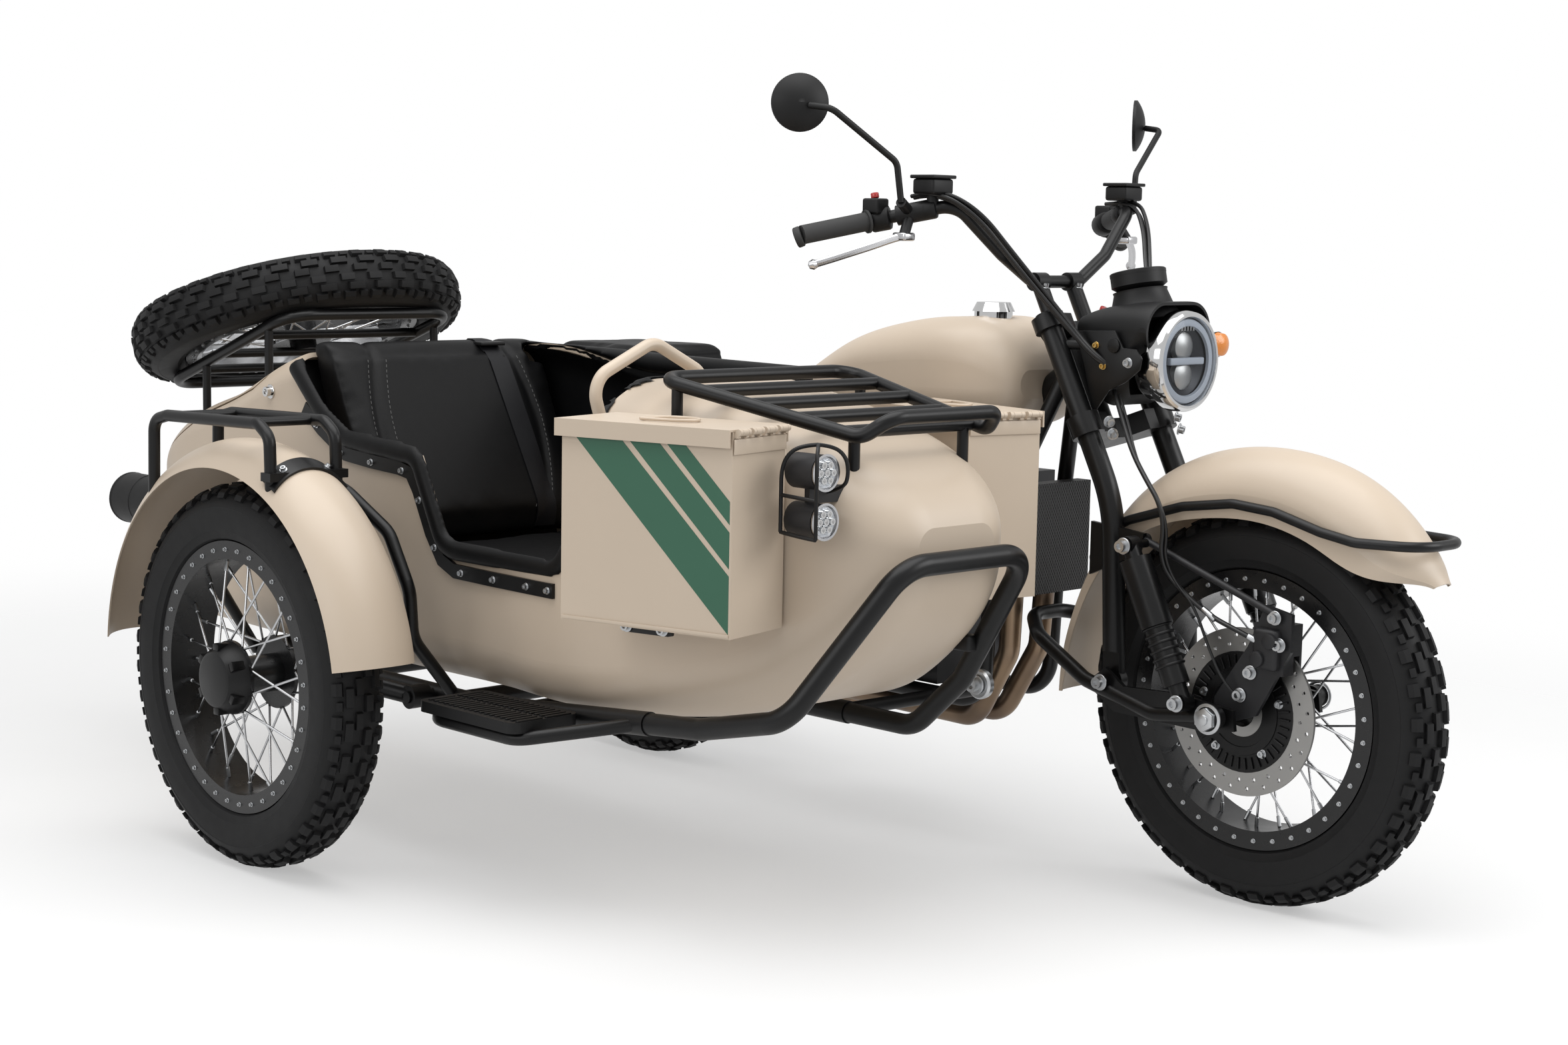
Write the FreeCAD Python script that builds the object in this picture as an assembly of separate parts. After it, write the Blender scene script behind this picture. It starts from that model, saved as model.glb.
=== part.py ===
import FreeCAD, Part
import functools
import math
import os

# Sidecar motorcycle, in millimetres. +X is forward, +Y is to the left, +Z is up, the floor is at z = 0.
# It is laid out from the rear wheel's contact point, then every piece is shifted to the final origin,
# which is the middle of the whole outfit's footprint on the floor.

V = FreeCAD.Vector
X_AXIS = V(1, 0, 0)
Y_AXIS = V(0, 1, 0)
Z_AXIS = V(0, 0, 1)

# Layout of the three wheels on the floor
WHEELBASE = 1510.0
SIDECAR_LEAD = 255.0
SIDECAR_TRACK = 1113.0

# Wheels and tyres
TYRE_RADIUS = 325.0
TYRE_WIDTH = 106.0
TREAD_CROWN = 32.0
TYRE_FACETS = 36
BEAD_RADIUS = 229.0
RIM_WIDTH = 84.0
RIM_RING_WALL = 8.0
RIM_INNER_RADIUS = 198.0
RIM_BARREL_WALL = 8.0
SPOKE_COUNT = 36
SPOKE_RADIUS = 2.0
SPOKE_CROSS_DEG = 34.0
HUB_RADIUS = 32.0
HUB_FLANGE_RADIUS = 62.0
HUB_FLANGE_WALL = 7.0
HUB_WIDTH = 92.0
AXLE_HOLE_RADIUS = 10.2
AXLE_RADIUS = 10.0
DISC_RADIUS = 137.0
DISC_INNER_RADIUS = 100.0
DISC_WALL = 5.0
DISC_OFFSET = 62.0

# Steering and fork
RAKE_DEG = 26.8
HEAD_HEIGHT = 860.0
HEAD_X = 1096.0
FORK_OFFSET = 51.0
HEAD_TUBE_RADIUS = 29.0
STEM_RADIUS = 15.0
YOKE_WALL = 25.0
LOWER_YOKE_WALL = 36.0
YOKE_BOSS = 9.0
UPPER_YOKE = 900.0
LOWER_YOKE = 728.0
LEG_SPREAD = 100.0
LEG_RADIUS = 19.0
LEG_TOP = 950.0
LEG_BEND_HEIGHT = 640.0
LINK_PIVOT_X = 1279.0
LINK_PIVOT_HEIGHT = 348.0
LINK_SPREAD = 122.0
LINK_TUBE_RADIUS = 12.5
SHOCK_TOP_X = 1337.0
SHOCK_TOP = 584.0
SHOCK_FOOT_X = 1453.0
SHOCK_FOOT = 342.0
SHOCK_SPREAD = 146.0
SHOCK_STUD = 7.0

# Bike frame
FRAME_HALF_WIDTH = 90.0
BACKBONE_RADIUS = 22.0

# Headlamp, its cowl and the instrument
LAMP_X = 1334.0
LAMP_HEIGHT = 879.0
LAMP_RADIUS = 84.0
LAMP_BUCKET_RADIUS = 71.5
COWL_WALL = 5.0
INSTRUMENT_X = 1221.0
INSTRUMENT_HEIGHT = 1022.0
INSTRUMENT_RADIUS = 47.0
INSTRUMENT_TILT_DEG = 12.0
INSTRUMENT_NECK_RADIUS = 32.5

# Handlebar risers
RISER_RADIUS = 14.0
RISER_OFFSET = 17.5
RISER_SPREAD = 45.0
RISER_HEIGHT = 80.0

# Fenders
FENDER_WALL = 3.0
FRONT_FENDER_HALF_WIDTH = 76.0

# Mirrors
MIRROR_RADIUS = 48.0
MIRROR_DOME = 16.0

# Sidecar body
BODY_Y = -600.0
BODY_HALF_WIDTH = 276.0
BODY_FLOOR = 312.0
BODY_WALL = 9.0
TAIL_JOIN_X = 6.0
NOSE_JOIN_X = 818.0

ROLL_RADIUS = 20.0

# Boot hinge, on top of the tail
BOOT_HINGE_X = -461.0
BOOT_HINGE_HEIGHT = 681.0
BOOT_BARREL_RADIUS = 6.0
BOOT_HINGE_SPREAD = 120.0
BOOT_BARREL = 30.0
BOOT_PIN_RADIUS = 2.5

# Boxes on the nose
BOX_LENGTH = 304.0
BOX_WIDTH = 140.0
BOX_FLOOR = 498.0
BOX_TOP = 800.0
BOX_WALL = 3.0
BOX_TOE_DEG = 13.3
BOX_CORNER_X = 1234.0
BOX_CORNER_Y = -940.0
LID_OVERHANG = 2.5
LID_SKIRT = 26.0
LID_HINGE_X = 7.0
LID_HINGE_DROP = 4.0
LID_BARREL_RADIUS = 5.0
LID_PIN_RADIUS = 2.5
LID_HINGE_COUNT = 4

# Running clearance between pieces that move, and seating clearance between pieces that rest
RUNNING_GAP = 6.0
SEAT_GAP = 0.3
BEARING_GAP = 1.0


def vec(point):
    return V(point[0], point[1], point[2])


def block(x0, x1, y0, y1, z0, z1):
    return Part.makeBox(x1 - x0, y1 - y0, z1 - z0, V(x0, y0, z0))


def rod(start, end, radius):
    start = vec(start)
    end = vec(end)
    return Part.makeCylinder(radius, (end - start).Length, start, end - start)


def dome(centre, axis, radius, height):
    """A shallow round cap on a disc, bulging along the axis."""
    ball = (radius * radius + height * height) / (2 * height)
    low = math.degrees(math.asin((ball - height) / ball))
    return Part.makeSphere(ball, centre - axis * (ball - height), axis, low, 90, 360)


def across(x, y, z, radius, length):
    """A cylinder along Y, centred at the point."""
    return Part.makeCylinder(radius, length, V(x, y - length / 2, z), Y_AXIS)


def bent_path(points, bend, closed=False):
    """Straight runs joined by tangent arcs of the bend radius; a closed path starts in mid-run."""
    points = [vec(point) for point in points]
    if closed:
        middle = (points[0] + points[-1]) * 0.5
        points = [middle] + points + [middle]
    edges = []
    start = points[0]
    for before, corner, after in zip(points, points[1:], points[2:]):
        inward = (corner - before).normalize()
        outward = (after - corner).normalize()
        turn = inward.getAngle(outward)
        room = 0.48 * min((corner - before).Length, (after - corner).Length)
        radius = min(bend, room / math.tan(turn / 2))
        reach = radius * math.tan(turn / 2)
        arc_start = corner - inward * reach
        arc_end = corner + outward * reach
        bisector = (outward - inward).normalize()
        centre = corner + bisector * (radius / math.cos(turn / 2))
        middle = centre - bisector * radius
        edges.append(Part.LineSegment(start, arc_start).toShape())
        edges.append(Part.Arc(arc_start, middle, arc_end).toShape())
        start = arc_end
    edges.append(Part.LineSegment(start, points[-1]).toShape())
    return Part.Wire(edges)


def tube(points, radius, bend=40.0, closed=False):
    """A round bar that follows the points, with rounded bends."""
    points = [vec(point) for point in points]
    if len(points) == 2:
        return rod(points[0], points[1], radius)
    path = bent_path(points, bend, closed)
    start = path.Vertexes[0].Point
    circle = Part.Wire(Part.makeCircle(radius, start, path.Edges[0].tangentAt(0)))
    return path.makePipeShell([circle], True, False)


def hoop(points, y=0.0):
    """The points of one side, then their mirror images in reverse, as one list."""
    return points + [(x, 2 * y - side, z) for x, side, z in reversed(points)]


def fuse(shapes):
    joined = shapes[0].multiFuse(shapes[1:]) if len(shapes) > 1 else shapes[0]
    return joined.removeSplitter()


def largest(shape):
    """The biggest solid of a shape, which drops the offcuts inside a hollow neighbour."""
    return max(shape.Solids, key=lambda solid: solid.Volume)


def mirror_y(shape, y=0.0):
    return shape.mirror(V(0, y, 0), Y_AXIS)


def both_sides(shape, y=0.0):
    return [shape, mirror_y(shape, y)]


def profile_xz(points, y0, y1):
    """A plate with a side outline in X and Z, from y0 to y1."""
    corners = [V(x, y0, z) for x, z in points]
    face = Part.Face(Part.makePolygon(corners + corners[:1]))
    return face.extrude(V(0, y1 - y0, 0))


def turned(points, centre):
    """Revolves (y, r) points about the Y axis through the centre."""
    corners = [V(0, y, r) for y, r in points]
    face = Part.Face(Part.makePolygon(corners + corners[:1]))
    solid = face.revolve(V(0, 0, 0), Y_AXIS, 360)
    solid.translate(vec(centre))
    return solid


def facet_ring(profile, count):
    """A ring of flat facets about Y from a closed (y, r) outline."""
    faces = []
    step = 2 * math.pi / count
    for k in range(count):
        angles = ((k - 0.5) * step, (k + 0.5) * step)
        for (y0, r0), (y1, r1) in zip(profile, profile[1:] + profile[:1]):
            corners = []
            for y, r, angle in ((y0, r0, angles[0]), (y0, r0, angles[1]),
                                (y1, r1, angles[1]), (y1, r1, angles[0])):
                corners.append(V(r * math.sin(angle), y, r * math.cos(angle)))
            faces.append(Part.Face(Part.makePolygon(corners + corners[:1])))
    shell = Part.Shell(faces)
    shell.sewShape()
    solid = Part.Solid(shell)
    if solid.Volume < 0:
        solid.reverse()
    return solid


def tyre():
    """A knobbly tyre about the Y axis with a rounded tread, standing on a flat facet."""
    apothem = math.cos(math.pi / TYRE_FACETS)
    half = TYRE_WIDTH / 2
    side = [(RIM_WIDTH / 2 - 6, BEAD_RADIUS), (half, 268), (half, TYRE_RADIUS - 33),
            (half - 7, TYRE_RADIUS - 16),
            (half - 21, TYRE_RADIUS - 5), (TREAD_CROWN / 2, TYRE_RADIUS)]
    outline = [(-y, r) for y, r in side] + side[::-1]
    return facet_ring([(y, r / apothem) for y, r in outline], TYRE_FACETS)


def wire_rim():
    """The rim with its two side rings, the spokes and the hub, about the Y axis."""
    half = RIM_WIDTH / 2
    ring = half - RIM_RING_WALL
    barrel = RIM_INNER_RADIUS + RIM_BARREL_WALL
    lip = BEAD_RADIUS - SEAT_GAP
    rim = turned([(-half, RIM_INNER_RADIUS), (half, RIM_INNER_RADIUS), (half, lip), (ring, lip),
                  (ring, barrel), (-ring, barrel), (-ring, lip), (-half, lip)], (0, 0, 0))
    hub_half = HUB_WIDTH / 2
    flange = hub_half - HUB_FLANGE_WALL
    hub = turned([(-hub_half, AXLE_HOLE_RADIUS), (hub_half, AXLE_HOLE_RADIUS),
                  (hub_half, HUB_FLANGE_RADIUS), (flange, HUB_FLANGE_RADIUS), (flange, HUB_RADIUS),
                  (-flange, HUB_RADIUS), (-flange, HUB_FLANGE_RADIUS),
                  (-hub_half, HUB_FLANGE_RADIUS)], (0, 0, 0))
    spokes = []
    for k in range(SPOKE_COUNT):
        side = 1 if k % 2 else -1
        lean = 1 if k % 4 < 2 else -1
        foot = math.radians(360 * k / SPOKE_COUNT)
        head = foot + math.radians(lean * SPOKE_CROSS_DEG)
        foot_radius = RIM_INNER_RADIUS + RIM_BARREL_WALL / 2
        head_radius = HUB_FLANGE_RADIUS - 8
        start = (head_radius * math.sin(head), side * (hub_half - HUB_FLANGE_WALL / 2),
                 head_radius * math.cos(head))
        end = (foot_radius * math.sin(foot), side * 8, foot_radius * math.cos(foot))
        spokes.append(rod(start, end, SPOKE_RADIUS))
    return fuse([rim, hub] + spokes)


def brake_disc(centre, side):
    """A flat disc on its carrier, on one side of the wheel."""
    y = side * DISC_OFFSET
    rotor = turned([(y - DISC_WALL / 2, DISC_INNER_RADIUS), (y + DISC_WALL / 2, DISC_INNER_RADIUS),
                    (y + DISC_WALL / 2, DISC_RADIUS), (y - DISC_WALL / 2, DISC_RADIUS)], centre)
    hub_face = side * (HUB_WIDTH / 2 + SEAT_GAP)
    far_face = y + side * DISC_WALL / 2
    carrier = turned([(hub_face, AXLE_HOLE_RADIUS + 14), (far_face, AXLE_HOLE_RADIUS + 14),
                      (far_face, DISC_INNER_RADIUS), (y - side * DISC_WALL / 2, DISC_INNER_RADIUS),
                      (hub_face, HUB_FLANGE_RADIUS - 10)], centre)
    return fuse([rotor, carrier])


STEER_COS = math.cos(math.radians(RAKE_DEG))


def steer_point(height, offset=0.0):
    """x of the line that runs parallel to the steering axis, offset forward of it."""
    slope = math.tan(math.radians(RAKE_DEG))
    return HEAD_X + (HEAD_HEIGHT - height) * slope + offset / math.cos(math.radians(RAKE_DEG))


# Bike frame, engine and what sits on them

def backbone(radius):
    return tube([(1085, 0, 850), (900, 0, 705), (520, 0, 690), (400, 0, 640)], radius, 120)


@functools.cache
def frame():
    side = FRAME_HALF_WIDTH
    bottom = STEER_COS * (LOWER_YOKE_WALL + BEARING_GAP) + LOWER_YOKE
    top = UPPER_YOKE - STEER_COS * BEARING_GAP
    head = rod((steer_point(top), 0, top), (steer_point(bottom), 0, bottom), HEAD_TUBE_RADIUS)
    bore = rod((steer_point(1000), 0, 1000), (steer_point(700), 0, 700), STEM_RADIUS + SEAT_GAP)
    cradle = tube([(1085, 18, 838), (1000, side, 580), (985, side, 262), (560, side, 262),
                   (440, side, 330), (400, side, 640)], 14, 60)
    rear = tube([(405, side, 640), (150, side, 735), (-190, side, 762)], 11, 80)
    stay = rod((410, side, 420), (120, side, 738), 10)
    ties = []
    for x, z, radius, half in ((400, 640, 14, side), (680, 262, 12, side), (1013, 620, 10, 78),
                               (-180, 761, 10, side), (120, 739, 9, side)):
        ties.append(across(x, 0, z, radius, 2 * half))
    pivot = across(430, 0, 360, 16, 2 * side + 32)
    members = [head, backbone(BACKBONE_RADIUS)] + both_sides(cradle) + both_sides(rear) + both_sides(stay)
    return fuse(members + ties + [pivot]).cut(bore)


@functools.cache
def engine():
    cases = block(500, 860, -74, 74, 274.3, 480)
    covers = block(570, 830, -150, 150, 290, 440)
    barrel = block(690, 930, -110, 110, 470, 590)
    head = block(680, 955, -125, 125, 590, 660)
    return fuse([cases, covers, barrel, head])


def radiator():
    core = block(1045, 1075, -78, 78, 462, 655)
    straps = [block(1005, 1046, side * 76 - 6, side * 76 + 6, 600, 616) for side in (-1, 1)]
    return largest(fuse([core] + straps).cut(frame()))


def exhaust():
    near = tube([(915, -46, 555), (1012, -46, 535), (1004, -46, 350), (930, -44, 222), (600, -30, 222)],
                19, 50)
    far = tube([(915, 46, 555), (1010, 46, 535), (1000, 40, 350), (930, 30, 222), (600, 20, 222)], 19, 50)
    collector = rod((610, -6, 222), (520, -6, 222), 36)
    pipe = tube([(525, -6, 222), (440, 30, 225), (330, 200, 300), (130, 236, 330)], 20, 60)
    silencer = rod((140, 236, 328), (-330, 236, 430), 50)
    return largest(fuse([near, far, collector, pipe, silencer]).cut(engine()))


def rounded_section(x, half_width, low, high, radius, low_radius=None, y=0.0):
    """A rounded rectangle in the plane of a given x."""
    low_radius = radius if low_radius is None else low_radius
    left = y + half_width
    right = y - half_width
    k = 1 - math.sqrt(0.5)
    a = radius
    b = low_radius
    return Part.Wire([
        Part.LineSegment(V(x, right, low + b), V(x, right, high - a)).toShape(),
        Part.Arc(V(x, right, high - a), V(x, right + a * k, high - a * k), V(x, right + a, high)).toShape(),
        Part.LineSegment(V(x, right + a, high), V(x, left - a, high)).toShape(),
        Part.Arc(V(x, left - a, high), V(x, left - a * k, high - a * k), V(x, left, high - a)).toShape(),
        Part.LineSegment(V(x, left, high - a), V(x, left, low + b)).toShape(),
        Part.Arc(V(x, left, low + b), V(x, left - b * k, low + b * k), V(x, left - b, low)).toShape(),
        Part.LineSegment(V(x, left - b, low), V(x, right + b, low)).toShape(),
        Part.Arc(V(x, right + b, low), V(x, right + b * k, low + b * k), V(x, right, low + b)).toShape(),
    ])


@functools.cache
def fuel_tank():
    stations = [(505, 70, 786, 812, 12), (560, 104, 765, 846, 38), (650, 130, 748, 888, 55),
                (780, 146, 740, 924, 70), (900, 148, 740, 937, 74), (985, 132, 750, 918, 66),
                (1028, 104, 775, 876, 46), (1040, 80, 800, 850, 24)]
    body = Part.makeLoft([rounded_section(*station) for station in stations], True, False)
    return body.cut(backbone(BACKBONE_RADIUS + SEAT_GAP))


def fuel_cap():
    neck = Part.makeCylinder(34, 22, V(905, 0, 924), Z_AXIS)
    cap = Part.makeCone(38, 30, 16, V(905, 0, 946), Z_AXIS)
    return fuse([neck, cap])


def saddle():
    rider = profile_xz([(95, 775), (150, 750), (470, 735), (500, 760), (470, 782), (200, 800), (110, 812)],
                       -125, 125)
    rider = rider.makeFillet(14, rider.Edges)
    feet = [block(160, 190, side * FRAME_HALF_WIDTH - 8, side * FRAME_HALF_WIDTH + 8, 733, 766)
            for side in (-1, 1)]
    return largest(fuse([rider] + feet).cut(frame()))


def pillion_pad():
    pad = block(-190, 88, -122, 122, 792, 840)
    pad = pad.makeFillet(16, pad.Edges)
    plate = block(-170, 70, -100, 100, 780, 792)
    feet = []
    for x, z in ((-150, 760), (40, 745)):
        for side in (-1, 1):
            feet.append(block(x, x + 24, side * FRAME_HALF_WIDTH - 8, side * FRAME_HALF_WIDTH + 8, z, 781))
    return largest(fuse([pad, plate] + feet).cut(frame()))


def rear_suspension():
    arm = tube([(440, 128, 360), (220, 126, 342), (-30, 118, 325)], 19, 200)
    shock = rod((60, 146, 345), (150, 146, 716), 22)
    dropout = across(0, 110, TYRE_RADIUS, 15, 54)
    head = rod((150, 146, 716), (150, 98, 736), 9)
    hinge = across(430, 128, 360, 22, 36)
    side = fuse([arm, shock, dropout, head, hinge]).cut(across(430, 128, 360, 16 + SEAT_GAP, 60))
    axle = across(0, 0, TYRE_RADIUS, AXLE_RADIUS, 290)
    return largest(fuse(both_sides(side) + [axle]).cut(frame()))


def rear_fender():
    guard = fender_arc(0.0, 0.0, TYRE_RADIUS, 68, 346, 372, -80, 25)
    posts = [rod((-162, 0, 657), (-178, 0, 756), 9), rod((120, 0, 676), (120, 0, 736), 9)]
    return largest(fuse([guard] + posts).cut(frame()))


def fender_arc(x, y, z, half_width, edge_radius, crown_radius, start_deg, end_deg):
    """A curved guard over a wheel, from start to end degrees forward of straight up."""
    wall = FENDER_WALL
    outer = Part.Arc(V(0, -half_width, edge_radius), V(0, 0, crown_radius), V(0, half_width, edge_radius))
    inner = Part.Arc(V(0, half_width - wall, edge_radius), V(0, 0, crown_radius - wall),
                     V(0, -half_width + wall, edge_radius))
    wire = Part.Wire([outer.toShape(),
                      Part.LineSegment(V(0, half_width, edge_radius),
                                       V(0, half_width - wall, edge_radius)).toShape(),
                      inner.toShape(),
                      Part.LineSegment(V(0, -half_width + wall, edge_radius),
                                       V(0, -half_width, edge_radius)).toShape()])
    face = Part.Face(wire)
    face.rotate(V(0, 0, 0), Y_AXIS, start_deg)
    solid = face.revolve(V(0, 0, 0), Y_AXIS, end_deg - start_deg)
    solid.translate(V(x, y, z))
    return solid


def tail_lamp():
    guard = fender_arc(0.0, 0.0, TYRE_RADIUS, 68, 346, 372, -80, 25)
    return largest(rod((-290, 0, 505), (-370, 0, 528), 38).cut(guard))


# Fork and what turns with it

def fork_leg(side):
    top = (steer_point(LEG_TOP, FORK_OFFSET), side * LEG_SPREAD, LEG_TOP)
    knee = (steer_point(LEG_BEND_HEIGHT, FORK_OFFSET), side * LEG_SPREAD, LEG_BEND_HEIGHT)
    foot = (LINK_PIVOT_X, side * LEG_SPREAD, LINK_PIVOT_HEIGHT)
    leg = tube([top, knee, foot], LEG_RADIUS, 260)
    ear = across(LINK_PIVOT_X, side * LEG_SPREAD, LINK_PIVOT_HEIGHT, 22, 17)
    gusset = profile_xz([(1225, 520), (1225, 610), (1335, 600), (1325, 565)],
                        side * (LEG_SPREAD + 4) - 4, side * (LEG_SPREAD + 4) + 4)
    stud = across(SHOCK_TOP_X, side * (LEG_SPREAD + 33), SHOCK_TOP, SHOCK_STUD, 60)
    flat = across(LINK_PIVOT_X, side * (LEG_SPREAD + 9 + 20), LINK_PIVOT_HEIGHT, 50, 40)
    return fuse([leg.cut(flat), ear, gusset, stud])


def on_steering(shape, height):
    """Tilts a shape built about Z so that its Z is the steering axis, at the height."""
    shape.rotate(V(0, 0, 0), Y_AXIS, -RAKE_DEG)
    shape.translate(V(steer_point(height), 0, height))
    return shape


def yoke(height, wall):
    """A clamp plate with a boss round each leg and round the stem."""
    forward = FORK_OFFSET
    half = LEG_SPREAD
    outline = [(-26, 24), (forward - 22, half + 8), (forward + 18, half), (forward + 14, 52), (30, 26)]
    corners = [V(x, y, 0) for x, y in outline + [(x, -y) for x, y in reversed(outline)]]
    parts = [Part.Face(Part.makePolygon(corners + corners[:1])).extrude(V(0, 0, wall))]
    for side in (-1, 1):
        parts.append(Part.makeCylinder(LEG_RADIUS + YOKE_BOSS, wall, V(forward, side * half, 0), Z_AXIS))
    parts.append(Part.makeCylinder(HEAD_TUBE_RADIUS + 2, wall, V(0, 0, 0), Z_AXIS))
    return on_steering(fuse(parts), height)


@functools.cache
def fork():
    stem_length = (UPPER_YOKE - LOWER_YOKE) / STEER_COS + YOKE_WALL + 2
    stem = on_steering(Part.makeCylinder(STEM_RADIUS, stem_length, V(0, 0, 4), Z_AXIS), LOWER_YOKE)
    nut = on_steering(Part.makeCylinder(STEM_RADIUS + 3, 9, V(0, 0, YOKE_WALL), Z_AXIS), UPPER_YOKE)
    legs = [fork_leg(1), fork_leg(-1)]
    return fuse(legs + [stem, nut, yoke(UPPER_YOKE, YOKE_WALL), yoke(LOWER_YOKE, LOWER_YOKE_WALL)])


def link_arms():
    loop = tube(hoop([(WHEELBASE, LINK_SPREAD, 325), (1380, LINK_SPREAD, 308), (1235, LINK_SPREAD, 345),
                      (1115, 104, 403), (1052, 42, 424)]), LINK_TUBE_RADIUS, 60)
    plate = profile_xz([(1240, 340), (1279, 372), (1318, 345), (1430, 350), (1535, 338), (1540, 305),
                        (1500, 296), (1300, 300)], LINK_SPREAD - 4, LINK_SPREAD + 4)
    bolt = across(LINK_PIVOT_X, LINK_SPREAD - 1, LINK_PIVOT_HEIGHT, 10, 2 * (LINK_SPREAD - 110))
    stud = across(SHOCK_FOOT_X, LINK_SPREAD + 20, SHOCK_FOOT, SHOCK_STUD, 40)
    axle = across(WHEELBASE, 0, TYRE_RADIUS, AXLE_RADIUS, 2 * LINK_SPREAD + 60)
    nuts = [across(WHEELBASE, side * (LINK_SPREAD + 24), TYRE_RADIUS, 19, 24) for side in (-1, 1)]
    return fuse([loop, axle] + both_sides(fuse([plate, bolt, stud])) + nuts)


def fork_shocks():
    y = SHOCK_SPREAD
    upper = (SHOCK_TOP_X, y, SHOCK_TOP)
    lower = (SHOCK_FOOT_X, y, SHOCK_FOOT)

    def along(share):
        return vec(upper) * (1 - share) + vec(lower) * share

    cover = rod(along(0.09), along(0.52), 27)
    body = rod(upper, lower, 15)
    spring = rod(along(0.5), along(0.89), 22)
    eyes = [across(x, y, z, 15, 26) for x, _, z in (upper, lower)]
    side = fuse([cover, body, spring] + eyes)
    for x, _, z in (upper, lower):
        side = side.cut(across(x, y, z, SHOCK_STUD + SEAT_GAP, 80))
    return Part.makeCompound(both_sides(side))


# Angle forward of straight up, crown radius, edge radius and half width from the wheel's axle
FRONT_FENDER_STATIONS = [
    (-93, 379, 362, 1.0), (-75, 384, 352, 1.0), (-55, 396, 350, 1.0), (-35, 415, 338, 1.0),
    (-15, 424, 318, 1.0), (5, 425, 312, 1.0), (25, 424, 311, 1.0), (37, 416, 318, 1.0),
    (44, 409, 338, 0.93), (49, 404, 366, 0.66), (53, 401, 388, 0.3)]


def fender_section(angle_deg, crown, edge, half):
    """One thin arched slice with upright sides, turned about the axle."""
    wires = []
    for inset in (0, FENDER_WALL):
        side = half - inset
        shoulder = edge + 0.35 * (crown - edge)
        wires.append((V(0, -side, edge), V(0, -side, shoulder), V(0, 0, crown - inset),
                      V(0, side, shoulder), V(0, side, edge)))
    outer, inner = wires
    edges = [
        Part.LineSegment(outer[0], outer[1]).toShape(), Part.Arc(outer[1], outer[2], outer[3]).toShape(),
        Part.LineSegment(outer[3], outer[4]).toShape(), Part.LineSegment(outer[4], inner[4]).toShape(),
        Part.LineSegment(inner[4], inner[3]).toShape(), Part.Arc(inner[3], inner[2], inner[1]).toShape(),
        Part.LineSegment(inner[1], inner[0]).toShape(), Part.LineSegment(inner[0], outer[0]).toShape()]
    wire = Part.Wire(edges)
    wire.rotate(V(0, 0, 0), Y_AXIS, angle_deg)
    wire.translate(V(WHEELBASE, 0, TYRE_RADIUS))
    return wire


def front_fender():
    slices = [fender_section(angle, crown, edge, FRONT_FENDER_HALF_WIDTH * share)
              for angle, crown, edge, share in FRONT_FENDER_STATIONS]
    guard = Part.makeLoft(slices, True, False)
    reach = LEG_SPREAD - FRONT_FENDER_HALF_WIDTH
    middle = FRONT_FENDER_HALF_WIDTH + reach / 2 - 1
    tabs = [block(1236, 1262, side * middle - reach / 2, side * middle + reach / 2, 560, 572)
            for side in (-1, 1)]
    return largest(fuse([guard] + tabs).cut(fork()))


@functools.cache
def fender_loop():
    loop = tube(hoop([(1254, 88, 598), (1287, 88, 616), (1395, 88, 649), (1493, 88, 663), (1570, 88, 657),
                      (1658, 88, 634), (1720, 88, 624), (1822, 62, 624)]), 8, 56)
    return largest(loop.cut(fork()))


def cowl(inset):
    """The headlamp cowl as one closed form, or its hollow when inset."""
    stations = [(1152, 70, 902, 948, 20), (1180, 76, 848, 959, 30), (1208, 79, 802, 966, 36),
                (1252, 84, 828, 973, 44), (1310, 88, 874, 976, 50)]
    wires = []
    for x, half, low, high, radius in stations:
        if x == stations[0][0]:
            x -= inset
        wires.append(rounded_section(x, half - inset, low + inset, high - inset, radius - inset))
    return Part.makeLoft(wires, True, False)


def nacelle():
    ears = [rod((1188, side * 74, 900), (steer_point(900, FORK_OFFSET), side * LEG_SPREAD, 900), 8)
            for side in (-1, 1)]
    open_front = rod((LAMP_X - 34, 0, LAMP_HEIGHT), (1400, 0, LAMP_HEIGHT), LAMP_RADIUS + SEAT_GAP)
    bucket = rod((1240, 0, LAMP_HEIGHT), (1400, 0, LAMP_HEIGHT), LAMP_BUCKET_RADIUS + SEAT_GAP)
    shell = cowl(0.0).cut(cowl(COWL_WALL)).cut(open_front).cut(bucket)
    return largest(fuse([largest(shell)] + ears).cut(fork()))


def headlamp():
    bucket = rod((1256, 0, LAMP_HEIGHT), (LAMP_X, 0, LAMP_HEIGHT), LAMP_BUCKET_RADIUS)
    bezel = rod((LAMP_X - 28, 0, LAMP_HEIGHT), (LAMP_X, 0, LAMP_HEIGHT), LAMP_RADIUS)
    glass = dome(V(LAMP_X, 0, LAMP_HEIGHT), X_AXIS, LAMP_RADIUS - 8, 9)
    return fuse([bucket, bezel, glass])


def instrument():
    radius = INSTRUMENT_RADIUS
    pod = Part.makeCylinder(radius, 22, V(0, 0, -22), Z_AXIS)
    skirt = Part.makeCone(INSTRUMENT_NECK_RADIUS, radius, 10, V(0, 0, -32), Z_AXIS)
    neck = Part.makeCylinder(INSTRUMENT_NECK_RADIUS, 60, V(0, 0, -92), Z_AXIS)
    solid = fuse([pod, skirt, neck])
    solid.rotate(V(0, 0, 0), Y_AXIS, -INSTRUMENT_TILT_DEG)
    solid.translate(V(INSTRUMENT_X, 0, INSTRUMENT_HEIGHT))
    return max(solid.cut(cowl(0.0)).Solids, key=lambda piece: piece.CenterOfMass.z)


BAR_POINTS = [(853, 427, 1075.6), (905, 305, 1103), (1018, 235, 1130), (1040, 140, 1048), (1044, 62, 1002)]
BAR_RADIUS = 11.0


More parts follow.
